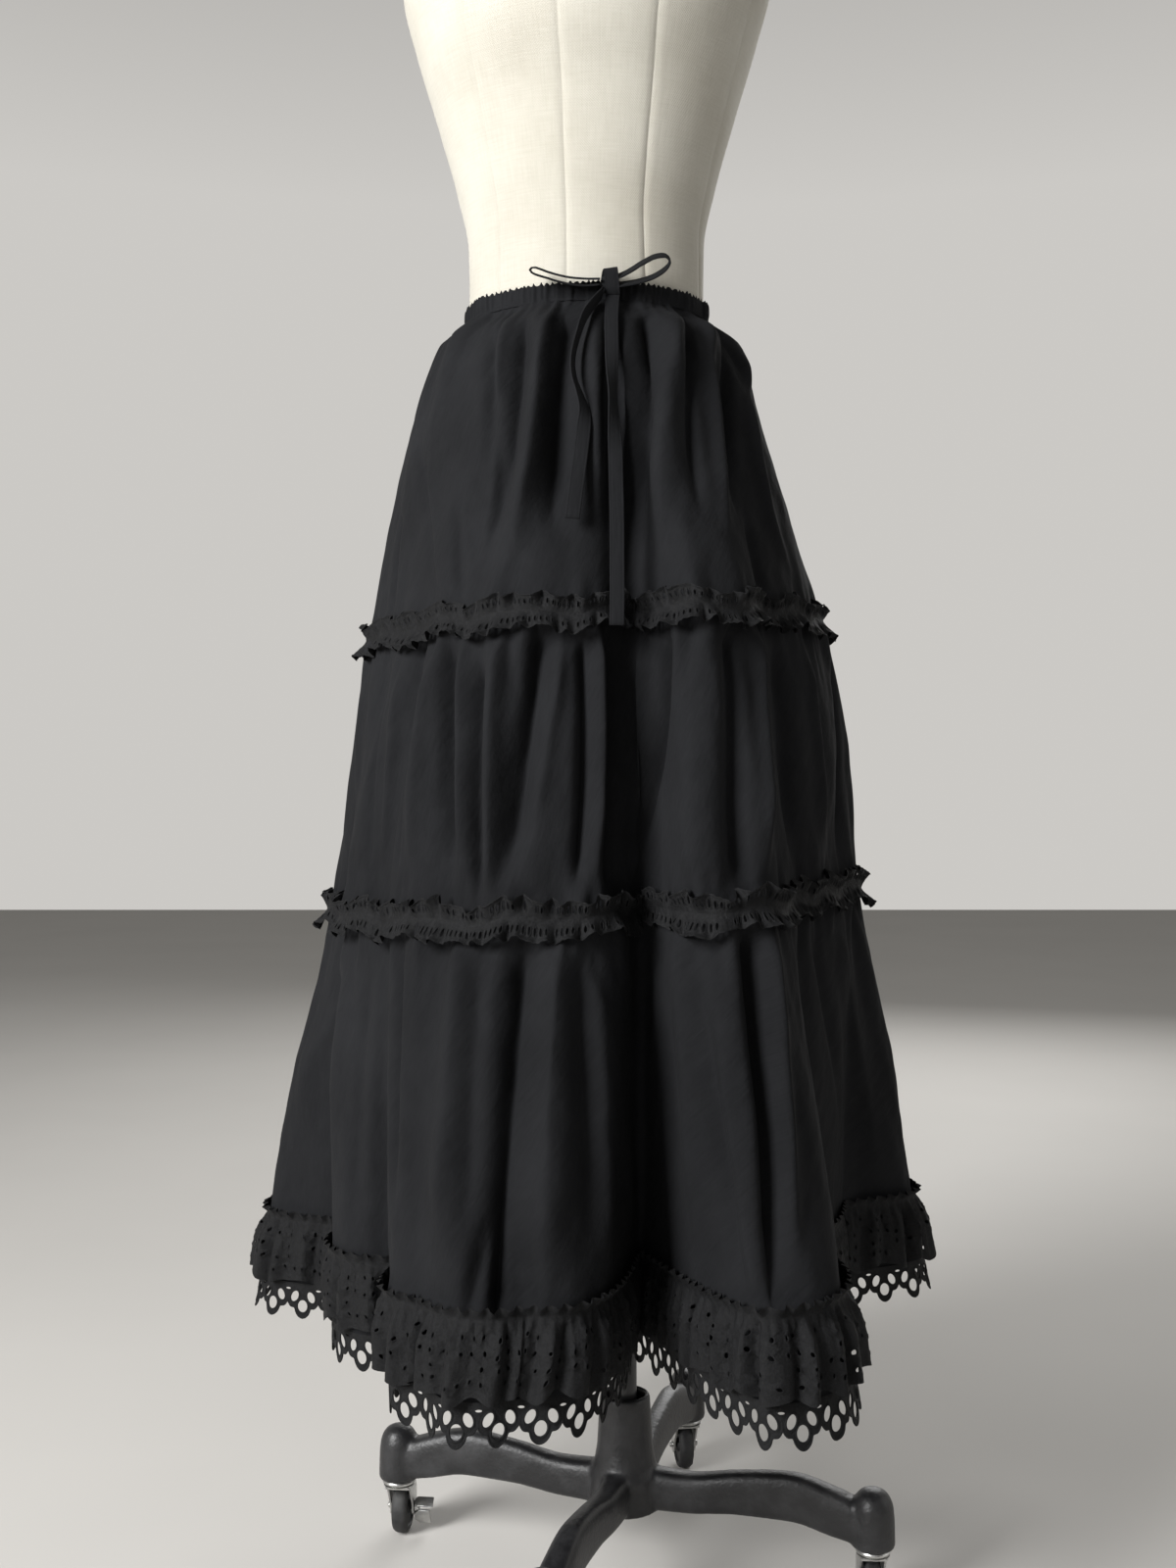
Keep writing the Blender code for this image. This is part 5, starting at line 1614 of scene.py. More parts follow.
    def build_loop(self, side: str, table: Sequence[Triple], lean_deg: float, palette: Palette) -> Piece:
        """One loop of the bow.

        Args:
            side: "left" or "right".
            table: Its route from the knot, seen from the knot's middle.
            lean_deg: How far the band's width leans out of the level.
            palette: The finishes.

        Returns:
            The loop.
        """
        centres = self.smooth_route(np.array(table), 60) + np.array(self.knot)
        lean = math.radians(lean_deg)
        across = np.tile((0.0, math.cos(lean), math.sin(lean)), (len(centres), 1))
        name = f"drawstring_loop_{side}"
        loop = self.band(f"{name}_band", centres, across)
        return put_in_scene(loop, "form", palette.drawstring, (name,))

    def build_knot(self, palette: Palette) -> Piece:
        """The knot: a flattened wrap of the band with its folds pulled in."""
        rows, columns = 22, 40
        sizes = np.array((0.0066, 0.0046, 0.0076))
        points, cloth = [], []
        for row in range(rows):
            pitch = math.pi * (row + 0.5) / rows
            for column in range(columns):
                turn = 2 * math.pi * column / columns
                flat = math.sin(pitch)
                unit = np.array((flat * math.sin(turn), -flat * math.cos(turn), math.cos(pitch)))
                boxed = np.sign(unit) * np.abs(unit) ** 0.72
                wrap = 1.0 + 0.06 * math.sin(5 * unit[0] + 9 * unit[2])
                wrap -= 0.05 * math.exp(-((unit[2] * 6 - 1) ** 2))
                points.append(np.array(self.knot) + boxed * sizes * wrap)
                cloth.append((unit[0] * 0.006, unit[2] * 0.008))
        faces = grid_faces(rows, columns, closed=True)
        faces.append(list(range(columns)))
        faces.append(list(range(columns * (rows - 1), columns * rows))[::-1])
        core = make_mesh("knot_core", np.array(points), faces, np.array(cloth))
        route = self.smooth_route(np.array(self.over_fold), 26)
        lean = np.radians(route[:, 3])
        across = np.stack((np.cos(lean), np.zeros(len(lean)), np.sin(lean)), axis=1)
        fold = self.band("knot_over_fold", route[:, :3] + np.array(self.knot), across)
        knot = joined("drawstring_knot_wrap", (core, fold))
        return put_in_scene(knot, "form", palette.drawstring, ("drawstring_knot",))

    def build(self, palette: Palette) -> list[Piece]:
        """Make the whole drawstring.

        Args:
            palette: The finishes.

        Returns:
            Its pieces.
        """
        return [
            self.build_tail("left", self.left_tail, palette),
            self.build_tail("right", self.right_tail, palette),
            self.build_loop("left", self.left_loop, 20, palette),
            self.build_loop("right", self.right_loop, 35, palette),
            self.build_knot(palette),
        ]


# ------------------------------------------------------------------ dress form
@dataclass(frozen=True)
class Section:
    """A level section of the form: half width, and depth to the front and back."""

    z: float
    half_width: float
    front: float
    back: float


@dataclass(frozen=True)
class FormSeam:
    """A sewn seam of the cover: its place round the form at the waist, the ribs and the shoulder."""

    name: str
    waist_deg: float
    ribs_deg: float
    shoulder_deg: float


@dataclass
class DressForm:
    """The padded torso in its sewn linen cover, with the cap on its neck."""

    turn_deg: float = -10.0
    offset_x: float = -0.002
    rows: int = 150
    between_seams: int = 13
    sections: tuple[Section, ...] = (
        Section(0.930, 0.130, 0.080, 0.086), Section(0.942, 0.146, 0.094, 0.102),
        Section(1.000, 0.160, 0.104, 0.116), Section(1.080, 0.148, 0.098, 0.108),
        Section(1.180, 0.1122, 0.0888, 0.0888), Section(1.205, 0.1112, 0.0877, 0.0877),
        Section(1.255, 0.1120, 0.0895, 0.0860), Section(1.310, 0.1230, 0.0990, 0.0880),
        Section(1.370, 0.1400, 0.1090, 0.0930), Section(1.440, 0.1610, 0.1300, 0.1000),
        Section(1.500, 0.1760, 0.1220, 0.1040), Section(1.548, 0.1790, 0.0960, 0.0960),
        Section(1.580, 0.1540, 0.0740, 0.0800), Section(1.606, 0.0860, 0.0600, 0.0640),
        Section(1.622, 0.0600, 0.0540, 0.0560), Section(1.672, 0.0550, 0.0520, 0.0520),
    )
    seams: tuple[FormSeam, ...] = (
        FormSeam("left side", -84, -82, -80), FormSeam("left princess", -37, -36, -33),
        FormSeam("centre front", -1, -1, -1), FormSeam("right princess", 37, 33, 30),
        FormSeam("right side", 80, 75, 71), FormSeam("right back", 146, 146, 148),
        FormSeam("centre back", 180, 180, 180), FormSeam("left back", 214, 214, 212),
    )
    groove: float = 0.0006
    groove_width: float = 0.0016
    girth_radius: float = 0.115  # turns the groove's width into an angle
    cloth_radius: float = 0.13  # turns angles into lengths of cloth

    def angles(self, z: Array) -> tuple[Array, Array]:
        """Columns that follow the seams.

        Args:
            z: Row heights.

        Returns:
            The angle of each column on each row, and how deep each column lies in a seam, 0 to 1.
        """
        heights = (1.205, 1.37, 1.55)
        lines = [
            np.interp(z, heights, [math.radians(v) for v in (s.waist_deg, s.ribs_deg, s.shoulder_deg)])
            for s in self.seams
        ]
        lines.append(lines[0] + 2 * math.pi)
        beside = self.groove_width / self.girth_radius
        columns, depth = [], []
        for here, following in zip(lines, lines[1:]):
            for step, deep in ((0.0, 1.0), (0.45 * beside, 0.75), (beside, 0.0)):
                columns.append(here + step)
                depth.append(deep)
            for n in range(1, self.between_seams):
                share = n / self.between_seams
                columns.append(here + beside + (following - here - 2 * beside) * share)
                depth.append(0.0)
            for step, deep in ((beside, 0.0), (0.45 * beside, 0.75)):
                columns.append(following - step)
                depth.append(deep)
        return np.stack(columns, axis=1), np.array(depth)

    def build(self, palette: Palette) -> list[Piece]:
        """Make the torso and its cap.

        Args:
            palette: The finishes.

        Returns:
            Both pieces.
        """
        heights = [s.z for s in self.sections]
        z = np.linspace(heights[-1], heights[0], self.rows)
        columns = {
            c: SmoothLine(heights, [getattr(s, c) for s in self.sections]).at(z)[:, None]
            for c in ("half_width", "front", "back")
        }
        angle, deep = self.angles(z)
        front = np.where(np.cos(angle) > 0, columns["front"], columns["back"])
        sunk = self.groove * deep[None, :]
        side = np.sin(angle) * (columns["half_width"] - sunk)
        ahead = np.cos(angle) * (front - sunk)
        turn = math.radians(self.turn_deg)
        x = side * math.cos(turn) + ahead * math.sin(turn) + self.offset_x
        y = side * math.sin(turn) - ahead * math.cos(turn)
        height = np.repeat(z[:, None], angle.shape[1], axis=1)
        points = np.stack((x, y, height), axis=-1).reshape(-1, 3)
        cloth = np.stack((angle * self.cloth_radius, height), axis=-1).reshape(-1, 2)
        count = angle.shape[1]
        faces = grid_faces(self.rows, count, closed=True)
        faces.append(list(range(count)))
        faces.append(list(range(count * (self.rows - 1), count * self.rows))[::-1])
        torso = make_mesh("form_torso_cover", points, faces, cloth)
        torso.data.set_sharp_from_angle(angle=math.radians(60))
        put_in_scene(torso, "form", palette.linen, ("form_torso",))
        top = self.sections[-1]
        rim = top.half_width
        profile = (
            (0.0, 0.0123), (rim - 0.010, 0.0121), (rim - 0.004, 0.0112), (rim - 0.001, 0.0085),
            (rim, 0.0050), (rim, 0.0012), (rim - 0.001, 0.0003), (0.0, 0.0003),
        )
        cap = turned("form_neck_cap_turned", profile, 64, Matrix.Translation((self.offset_x, 0, top.z)))
        put_in_scene(cap, "form", palette.cap, ("form_neck_cap",))
        return [torso, cap]


# ------------------------------------------------------------------ stand
def turned(name: str, profile: Sequence[Pair], steps: int, place: Matrix) -> Piece:
    """A turned piece about its own Z.

    Args:
        name: The piece's name.
        profile: (radius, z) rows down its outer side.
        steps: Sides round it.
        place: Where it stands, in the skirt's frame.

    Returns:
        The piece, with its rounded parts smooth.
    """
    bm = bmesh.new()
    rings = []
    for radius, z in profile:
        if radius <= 1e-6:
            rings.append([bm.verts.new((0, 0, z))])
            continue
        turns = [2 * math.pi * n / steps for n in range(steps)]
        rings.append([bm.verts.new((radius * math.cos(t), radius * math.sin(t), z)) for t in turns])
    pairs = list(zip(rings, rings[1:]))
    if len(rings[0]) > 1 and len(rings[-1]) > 1:
        pairs.append((rings[-1], rings[0]))
    for high, low in pairs:
        for n in range(steps):
            m = (n + 1) % steps
            if len(high) == 1 and len(low) > 1:
                bm.faces.new((high[0], low[n], low[m]))
            elif len(low) == 1 and len(high) > 1:
                bm.faces.new((high[n], low[0], high[m]))
            elif len(high) > 1:
                bm.faces.new((high[n], low[n], low[m], high[m]))
    bmesh.ops.transform(bm, matrix=TO_MODEL @ place, verts=bm.verts)
    return finished(name, bm)


def finished(name: str, bm: bmesh.types.BMesh, sharp_deg: float = 38.0) -> Piece:
    """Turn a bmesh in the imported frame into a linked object, smooth but for its sharp edges."""
    bmesh.ops.recalc_face_normals(bm, faces=bm.faces)
    mesh = bpy.data.meshes.new(name)
    bm.to_mesh(mesh)
    bm.free()
    mesh.shade_smooth()
    mesh.set_sharp_from_angle(angle=math.radians(sharp_deg))
    thing = bpy.data.objects.new(name, mesh)
    bpy.context.scene.collection.objects.link(thing)
    return thing


def joined(name: str, things: Sequence[Piece]) -> Piece:
    """Join objects into one, under a new name."""
    bm = bmesh.new()
    for thing in things:
        bm.from_mesh(thing.data)
        bpy.data.objects.remove(thing, do_unlink=True)
    return finished(name, bm)


@dataclass
class Lift:
    """The gas cylinder, its thin rod and the form's pole."""

    pole_radius: float = 0.014
    pole_foot: float = 0.400
    pole_top: float = 0.970
    rod_radius: float = 0.005
    rod_foot: float = 0.168
    rod_top: float = 0.445
    cylinder_radius: float = 0.01125
    cylinder_top: float = 0.216
    cylinder_foot: float = 0.066
    bore: float = 0.0056

    def build(self, palette: Palette) -> list[Piece]:
        """Make the three turned pieces.

        Args:
            palette: The finishes.

        Returns:
            Them.
        """
        pole = turned(
            "form_pole_tube",
            (
                (0.0, self.pole_top), (self.pole_radius, self.pole_top),
                (self.pole_radius, self.pole_foot + 0.0015), (self.pole_radius - 0.0015, self.pole_foot),
                (self.bore, self.pole_foot), (self.bore, self.rod_top + 0.006),
                (0.0, self.rod_top + 0.006),
            ),
            48,
            AT_POLE,
        )
        put_in_scene(pole, "form", palette.pole, ("form_pole",))
        rod = turned(
            "lift_rod_bar",
            (
                (0.0, self.rod_top), (self.rod_radius, self.rod_top), (self.rod_radius, self.rod_foot),
                (0.0, self.rod_foot),
            ),
            32,
            AT_POLE,
        )
        put_in_scene(rod, "lift", palette.rod, ("lift_rod",))
        r, top = self.cylinder_radius, self.cylinder_top
        cylinder = turned(
            "lift_cylinder_tube",
            (
                (self.bore, top), (r - 0.0035, top), (r - 0.0022, top - 0.0008),
                (r - 0.0008, top - 0.0030), (r, top - 0.0050), (r, self.cylinder_foot + 0.001),
                (r - 0.001, self.cylinder_foot), (self.bore, self.cylinder_foot),
            ),
            48,
            AT_POLE,
        )
        put_in_scene(cylinder, "stand", palette.cylinder, ("lift_cylinder",))
        return [pole, rod, cylinder]


@dataclass(frozen=True)
class LegStation:
    """A section of a leg: its distance from the hub, its foot and its top."""

    reach: float
    foot: float
    top: float


@dataclass
class CastBase:
    """The casting: a tapered hub, arched legs and a domed caster housing at each end."""

    hub_top: float = 0.173
    hub_foot: float = 0.066
    hub_radius: float = 0.0238
    socket: float = 0.0190
    leg_reach: float = 0.234
    leg_width: float = 0.030
    leg_waist: float = 0.22  # how much narrower a leg is halfway along
    leg_sections: int = 24
    leg_sides: int = 20
    side_power: float = 0.55  # 1 is an ellipse, less is squarer
    back_power: float = 0.75
    foot_power: float = 0.35
    knob_radius: float = 0.020
    knob_top: float = 0.114
    knob_foot: float = 0.061
    first_leg_deg: float = 72.0
    voxel: float = 0.0023
    stations: tuple[LegStation, ...] = (
        LegStation(0.010, 0.068, 0.107), LegStation(0.060, 0.069, 0.105), LegStation(0.110, 0.074, 0.113),
        LegStation(0.160, 0.075, 0.118), LegStation(0.200, 0.067, 0.109), LegStation(0.228, 0.063, 0.098),
    )

    def leg_angles(self) -> list[float]:
        """The legs' directions in plan, from +X."""
        return [math.radians(self.first_leg_deg + 90.0 * n) for n in range(4)]

    def leg(self, angle: float) -> Piece:
        """One arched leg with a rounded back."""
        reach = np.linspace(self.stations[0].reach, self.stations[-1].reach, self.leg_sections)
        where = [station.reach for station in self.stations]
        foot = SmoothLine(where, [station.foot for station in self.stations]).at(reach)
        top = SmoothLine(where, [station.top for station in self.stations]).at(reach)
        narrow = 1.0 - self.leg_waist * np.sin(np.pi * np.clip((reach - 0.02) / 0.20, 0, 1))
        bm = bmesh.new()
        rings = []
        for r, low, high, share in zip(reach, foot, top, narrow):
            ring = []
            for n in range(self.leg_sides):
                turn = 2 * math.pi * n / self.leg_sides
                level, rise = math.cos(turn), math.sin(turn)
                power = self.back_power if rise > 0 else self.foot_power
                side = math.copysign(abs(level) ** self.side_power, level) * 0.5 * self.leg_width * share
                up = math.copysign(abs(rise) ** power, rise)
                height = 0.5 * (low + high) + up * 0.5 * (high - low)
                x = r * math.cos(angle) - side * math.sin(angle)
                y = r * math.sin(angle) + side * math.cos(angle)
                ring.append(bm.verts.new((x, y, height)))
            rings.append(ring)
        for near, far in zip(rings, rings[1:]):
            for n in range(self.leg_sides):
                m = (n + 1) % self.leg_sides
                bm.faces.new((near[n], near[m], far[m], far[n]))
        bm.faces.new(rings[0])
        bm.faces.new(rings[-1])
        bmesh.ops.transform(bm, matrix=TO_MODEL @ AT_POLE, verts=bm.verts)
        return finished("leg", bm)

    def build(self, palette: Palette) -> Piece:
        """Make the casting: its parts fused into one skin with soft fillets.

        Args:
            palette: The finishes.

        Returns:
            The casting.
        """
        r = self.hub_radius
        hub = turned(
            "hub",
            (
                (self.socket, self.hub_top - 0.0010), (self.socket + 0.0015, self.hub_top),
                (r - 0.0018, self.hub_top), (r, self.hub_top - 0.0020), (r + 0.0012, 0.150),
                (r + 0.0026, 0.125), (r + 0.0054, 0.108), (r + 0.0092, 0.098),
                (r + 0.0092, self.hub_foot), (0.0120, self.hub_foot), (0.0120, self.hub_top - 0.030),
                (self.socket, self.hub_top - 0.022),
            ),
            48,
            AT_POLE,
        )
        parts = [hub]
        for angle in self.leg_angles():
            parts.append(self.leg(angle))
            k = self.knob_radius
            knob = turned(
                "knob",
                (
                    (0.0, self.knob_top), (0.0060, self.knob_top - 0.0006),
                    (0.0115, self.knob_top - 0.0030), (0.0156, self.knob_top - 0.0075),
                    (k - 0.0016, self.knob_top - 0.0150), (k - 0.0006, self.knob_top - 0.0260),
                    (k, self.knob_foot + 0.0020), (k - 0.0014, self.knob_foot + 0.0006),
                    (0.0, self.knob_foot + 0.0006),
                ),
                40,
                caster_axis(self, angle),
            )
            parts.append(knob)
        whole = joined("stand_base_casting", parts)
        fuse = whole.modifiers.new("fuse", "REMESH")
        fuse.mode = "VOXEL"
        fuse.voxel_size = self.voxel
        fuse.use_smooth_shade = True
        soften = whole.modifiers.new("soften", "SMOOTH")
        soften.factor = 0.5
        soften.iterations = 5
        apply_modifiers(whole)
        put_in_scene(whole, "stand", palette.casting, ("stand_base",))
        return whole


def apply_modifiers(thing: Piece) -> None:
    """Replace a piece's mesh by what its modifiers make of it."""
    graph = bpy.context.evaluated_depsgraph_get()
    mesh = bpy.data.meshes.new_from_object(thing.evaluated_get(graph))
    thing.modifiers.clear()
    old = thing.data
    thing.data = mesh
    bpy.data.meshes.remove(old)
    mesh.shade_smooth()


def caster_axis(base: CastBase, angle: float) -> Matrix:
    """Where a caster's swivel axis meets the floor."""
    return Matrix.Translation(
        (POLE_X + base.leg_reach * math.cos(angle), base.leg_reach * math.sin(angle), 0.0)
    )


@dataclass
class Caster:
    """A swivelling fork with its wheel, and on one of them the brake's pedal."""

    number: int
    turn_deg: float
    braked: bool = False
    wheel_radius: float = 0.025
    wheel_width: float = 0.016
    trail: float = 0.018
    cheek: float = 0.002
    axle: float = 0.003
    top: float = 0.0607

    def place(self, base: CastBase) -> Matrix:
        """Where the caster stands, turned to its trail."""
        angle = base.leg_angles()[self.number - 1]
        return caster_axis(base, angle) @ Matrix.Rotation(math.radians(self.turn_deg), 4, "Z")

    @property
    def cheek_out(self) -> float:
        """The outside of a cheek, from the wheel's middle."""
        return self.wheel_width / 2 + 0.0020 + self.cheek

    def axle_place(self) -> Matrix:
        """The axle: a turned shape's Z goes across the fork."""
        return Matrix.Translation((self.trail, 0, self.wheel_radius)) @ Matrix.Rotation(math.pi / 2, 4, "X")

    def plate(self, outline: Sequence[Pair], thick: float, place: Matrix) -> Piece:
        """A pressed plate with rounded edges.

        Args:
            outline: Its corners in its own plane.
            thick: Its thickness.
            place: Where it lies.

        Returns:
            The plate.
        """
        bm = bmesh.new()
        verts = [bm.verts.new((x, y, -thick / 2)) for x, y in outline]
        face = bm.faces.new(verts)
        grown = bmesh.ops.extrude_face_region(bm, geom=[face])["geom"]
        moved = [v for v in grown if isinstance(v, bmesh.types.BMVert)]
        bmesh.ops.translate(bm, vec=(0, 0, thick), verts=moved)
        bmesh.ops.recalc_face_normals(bm, faces=bm.faces)
        bmesh.ops.bevel(bm, geom=bm.edges[:], offset=0.0004, segments=2, affect="EDGES", clamp_overlap=True)
        bmesh.ops.transform(bm, matrix=TO_MODEL @ place, verts=bm.verts)
        return finished("plate", bm)

    def cheek_outline(self) -> list[Pair]:
        """A cheek from its bridge down to the round boss at the axle."""
        boss = 0.0085
        high = self.top - 0.0080
        outline = [(-0.0050, high), (0.0210, high), (0.0265, high - 0.010)]
        for n in range(9):
            angle = math.radians(20 - 220 * n / 8)
            outline.append(
                (self.trail + boss * math.cos(angle), self.wheel_radius + boss * math.sin(angle))
            )
        return outline

    def build(self, base: CastBase, palette: Palette) -> list[Piece]:
        """Make the caster.

        Args:
            base: The casting that it hangs from.
            palette: The finishes.

        Returns:
            Its pieces.
        """
        stand = self.place(base)
        upright = Matrix.Rotation(math.pi / 2, 4, "X")
        parts = [
            turned(
                "race",
                [
                    (radius, self.top - depth)
                    for radius, depth in (
                        (0.0, 0.0), (0.0160, 0.0), (0.0166, 0.0012), (0.0160, 0.0030), (0.0130, 0.0034),
                        (0.0130, 0.0044), (0.0155, 0.0048), (0.0150, 0.0062), (0.0, 0.0062),
                    )
                ],
                40,
                stand,
            ),
            self.plate(
                (
                    (-0.0110, -self.cheek_out), (0.0245, -self.cheek_out), (0.0245, self.cheek_out),
                    (-0.0110, self.cheek_out),
                ),
                0.0022,
                stand @ Matrix.Translation((0, 0, self.top - 0.0070)),
            ),
        ]
        for side in (-1, 1):
            middle = side * (self.cheek_out - self.cheek / 2)
            parts.append(
                self.plate(
                    self.cheek_outline(), self.cheek, stand @ Matrix.Translation((0, middle, 0)) @ upright
                )
            )
            end = self.axle_place() @ Matrix.Rotation(0 if side > 0 else math.pi, 4, "X")
            head = self.cheek_out
            reach = 0.0050 if side > 0 and self.braked else 0.0034
            parts.append(
                turned(
                    "bolt",
                    (
                        (0.0, head + reach), (self.axle - 0.0008, head + reach),
                        (self.axle, head + reach - 0.0008), (self.axle, head + 0.0001),
                        (0.0, head - 0.004),
                    ),
                    24,
                    stand @ end,
                )
            )
        fork = joined(f"caster_{self.number}_fork", parts)
        put_in_scene(fork, f"fork_{self.number}", palette.zinc, (f"caster_{self.number}",))
        half = self.wheel_width / 2
        bore = self.axle + 0.0003
        r = self.wheel_radius
        side_rows = (
            (bore, half), (0.0062, half), (0.0070, half - 0.0006), (0.0078, half - 0.0024),
            (0.0180, half - 0.0024), (0.0186, half - 0.0004), (0.0200, half - 0.0002),
            (0.0228, half - 0.0010), (0.0243, half - 0.0030), (r - 0.0001, half - 0.0052),
        )
        profile = [*side_rows, (r, 0.0), *[(radius, -z) for radius, z in reversed(side_rows)]]
        wheel = turned(f"wheel_{self.number}_tyre", profile, 72, stand @ self.axle_place())
        put_in_scene(
            wheel, f"roller_{self.number}", palette.rubber, (f"wheel_{self.number}",)
        )
        made = [fork, wheel]
        if self.braked:
            made.append(self.pedal(stand, palette))
        return made

    def pedal(self, stand: Matrix, palette: Palette) -> Piece:
        """The brake's rocker: a collar on the axle's end with a leaf above and below."""
        start = self.cheek_out + 0.0003
        axle = stand @ self.axle_place()
        collar = (
            (self.axle + 0.0003, start + 0.0040), (0.0056, start + 0.0040), (0.0060, start + 0.0036),
            (0.0060, start + 0.0004), (0.0056, start), (self.axle + 0.0003, start),
        )
        parts = [turned("collar", collar, 32, axle)]
        for turn_deg, slide, wide, long in ((130, -0.001, 0.010, 0.019), (205, 0.006, 0.017, 0.016)):
            turn = Matrix.Rotation(math.radians(turn_deg), 4, "Z")
            lay = Matrix.Translation((0.0065, slide, start + 0.5 * long))
            lay = lay @ Matrix.Rotation(math.pi / 2, 4, "Y")
            h, w = 0.5 * long, 0.5 * wide
            c = 0.28 * wide
            outline = ((-h, -w), (h - c, -w), (h, -w + c), (h, w - c), (h - c, w), (-h, w))
            parts.append(self.plate(outline, 0.0026, axle @ turn @ lay))
        pedal = joined("brake_pedal_leaves", parts)
        return put_in_scene(pedal, "brake", palette.zinc, ("brake_pedal",))


# ------------------------------------------------------------------ studio
@dataclass
class Studio:
    """The pale floor, the soft light and the camera at the photograph's viewing angle."""

    lens: float = 36.65
    sensor: float = 36.0
    floor_size: float = 16.0
    wall: Triple = (0.60, 0.585, 0.56)
    wall_top: float = 0.34  # the height, as a sine, where the walls start to darken
    ceiling_foot: float = 0.75
    ceiling: float = 0.25  # its brightness, of the walls'
    near_side: float = 0.40  # brightness of the side behind the camera, of the far wall's
    near_edge: float = -0.45  # between these places along Y, as sines, the walls grow brighter
    far_edge: float = 0.10
    floor: Triple = (0.50, 0.485, 0.46)

    def build(self) -> None:
        """Set the camera, the world, the floor and the lights."""
        scene = bpy.context.scene
        camera = bpy.data.objects.new("camera", bpy.data.cameras.new("camera"))
        camera.data.lens = self.lens
        camera.data.sensor_width = self.sensor
        camera.location = SHIFT + Vector((0.0, -CAMERA_BACK, CAMERA_HEIGHT))
        camera.rotation_euler = (math.pi / 2, 0.0, 0.0)
        scene.collection.objects.link(camera)
        scene.camera = camera
        scene.view_settings.view_transform = "Standard"
        scene.world = self.make_world()
        self.build_floor()
        self.light("key from the left", (-2.2, -2.1, 2.0), (0.0, 0.0, 0.75), (1.2, 1.7), 200.0)
        self.light("soft front", (-0.4, -3.4, 1.6), (0.0, 0.0, 0.8), (2.4, 2.2), 5.0)
        self.light("right edge", (2.6, -0.6, 1.7), (0.0, 0.0, 0.8), (1.2, 2.2), 9.0)
        self.light("back", (0.9, 3.0, 2.2), (0.0, 0.0, 0.8), (2.0, 2.0), 60.0)

    def make_world(self) -> bpy.types.World:
        """Pale walls under a dimmer ceiling, dimmer too on the near side, which keeps the folds' shade."""
        world = bpy.data.worlds.new("pale room")
        world.use_nodes = True
        tree = world.node_tree
        place = tree.nodes.new("ShaderNodeTexCoord")
        split = tree.nodes.new("ShaderNodeSeparateXYZ")
        ramp = tree.nodes.new("ShaderNodeValToRGB")
        ramp.color_ramp.elements[0].position = self.wall_top
        ramp.color_ramp.elements[0].color = (*self.wall, 1.0)
        ramp.color_ramp.elements[1].position = self.ceiling_foot
        ramp.color_ramp.elements[1].color = (*(c * self.ceiling for c in self.wall), 1.0)
        tree.links.new(place.outputs["Generated"], split.inputs[0])
        tree.links.new(split.outputs["Z"], ramp.inputs["Fac"])
        turn = tree.nodes.new("ShaderNodeMapRange")
        limits = (self.near_edge, self.far_edge, self.near_side, 1.0)
        for name, value in zip(("From Min", "From Max", "To Min", "To Max"), limits):
            turn.inputs[name].default_value = value
        tree.links.new(split.outputs["Y"], turn.inputs["Value"])
        tree.links.new(ramp.outputs["Color"], tree.nodes["Background"].inputs["Color"])
        tree.links.new(turn.outputs["Result"], tree.nodes["Background"].inputs["Strength"])
        return world

    def build_floor(self) -> None:
        """The plain floor."""
        half = self.floor_size / 2
        corners = np.array([(-half, half, 0), (half, half, 0), (half, -half, 0), (-half, -half, 0)])
        floor = make_mesh("floor", corners, [(0, 3, 2, 1)])
        nodes = Nodes("pale floor")
        cloud = nodes.noise(nodes.object_place(), 1.4, 3.0)
        paler = tuple(min(1.0, c * 1.05) for c in self.floor)
        nodes.colour(cloud, 0.3, 0.7, self.floor, paler)
        nodes.set(Roughness=0.8)
        floor.data.materials.append(nodes.material)

    def light(self, name: str, place: Triple, target: Triple, size: Pair, watts: float) -> None:
        """A soft panel that faces a point.

        Args:
            name: Its name.
            place: Where it stands.
            target: What it faces.
            size: Its width and height.
            watts: Its power.
        """
        data = bpy.data.lights.new(name, "AREA")
        data.shape = "RECTANGLE"
        data.size, data.size_y = size
        data.energy = watts
        lamp = bpy.data.objects.new(name, data)
        lamp.location = place
        lamp.rotation_euler = (Vector(target) - Vector(place)).to_track_quat("-Z", "Y").to_euler()
        bpy.context.scene.collection.objects.link(lamp)


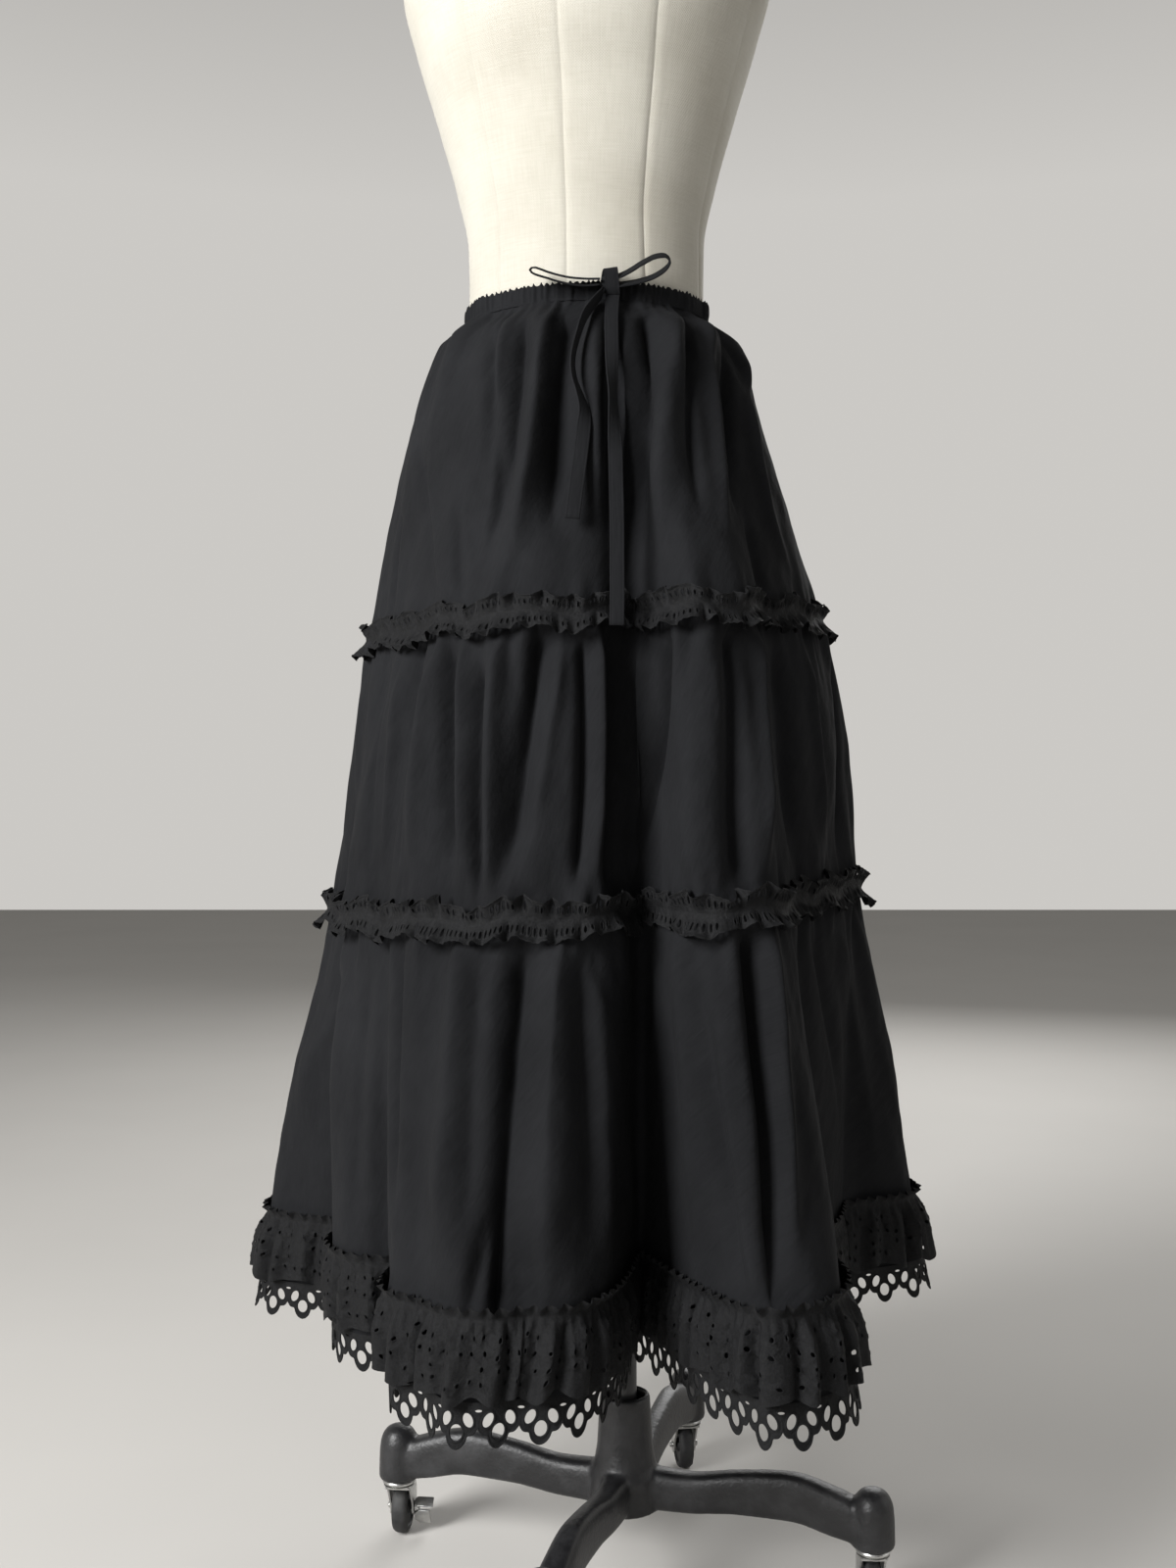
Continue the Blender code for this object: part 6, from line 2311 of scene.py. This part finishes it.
def tiers() -> list[Tier]:
    """The three tiers with their creases and gathers."""
    return [
        Tier(
            1, CASING_FOOT + 0.0008, SEAM_1, 0.0019, 96, TIER_1_CREASES,
            (
                Gathers(CASING_FOOT, Side.BELOW, 8.0, 4.2, 36.0, 101),
                Gathers(CASING_FOOT, Side.BELOW, 20.0, 6.4, 100.0, 102),
                Gathers(SEAM_1, Side.ABOVE, 14.0, 2.6, 26.0, 103),
                Gathers(SEAM_1, Side.ABOVE, 34.0, 4.2, 64.0, 104),
            ),
            (0.80, 0.300), (0.70, 0.300),
        ),
        Tier(
            2, SEAM_1, SEAM_2, 0.0020, 88, TIER_2_CREASES,
            (
                Gathers(SEAM_1, Side.BELOW, 9.0, 4.6, 32.0, 201),
                Gathers(SEAM_1, Side.BELOW, 22.0, 6.8, 105.0, 202),
                Gathers(SEAM_2, Side.ABOVE, 11.0, 3.6, 26.0, 203),
                Gathers(SEAM_2, Side.ABOVE, 27.0, 5.8, 75.0, 204),
            ),
            (0.97, 0.255), (0.80, 0.255),
        ),
        Tier(
            3, SEAM_2, CLOTH_FOOT - 0.002, 0.0026, 104, TIER_3_CREASES,
            (
                Gathers(SEAM_2, Side.BELOW, 11.0, 4.8, 30.0, 301),
                Gathers(SEAM_2, Side.BELOW, 27.0, 7.6, 95.0, 302),
                Gathers(FLOUNCE_HEADING, Side.ABOVE, 18.0, 1.8, 16.0, 303),
                Gathers(FLOUNCE_HEADING, Side.ABOVE, 50.0, 4.0, 60.0, 304),
            ),
            (1.40, 0.360), (1.12, 0.360), 1.5, 0.3,
        ),
    ]


def main() -> None:
    """Build every piece in order and report it."""
    logging.basicConfig(level=logging.INFO, format="%(name)s: %(message)s", stream=sys.stdout)
    Studio().build()
    palette = Palette()
    Drawstring().build(palette)
    skirt_tiers = tiers()
    for tier in skirt_tiers:
        tier.build(palette)
    WaistCasing().build(palette, skirt_tiers[0].gathers[:2])
    SeamRuffle(1, SEAM_1, 15.5, 6.0, 7.5, 66, 41, Eyelet(3.7, 4.2, 2.2, 4.6), (2.30, 0.030)).build(palette)
    SeamRuffle(2, SEAM_2, 16.5, 6.5, 8.5, 80, 51, Eyelet(3.7, 4.2, 2.8, 5.8), (2.80, 0.030)).build(palette)
    Flounce().build(palette)
    HemLace().build(palette)
    DressForm().build(palette)
    Lift().build(palette)
    base = CastBase()
    base.build(palette)
    for number, turn_deg in enumerate((98.0, 84.0, 102.0, 88.0), start=1):
        Caster(number, turn_deg, braked=number == 2).build(base, palette)


if __name__ == "__main__":
    main()
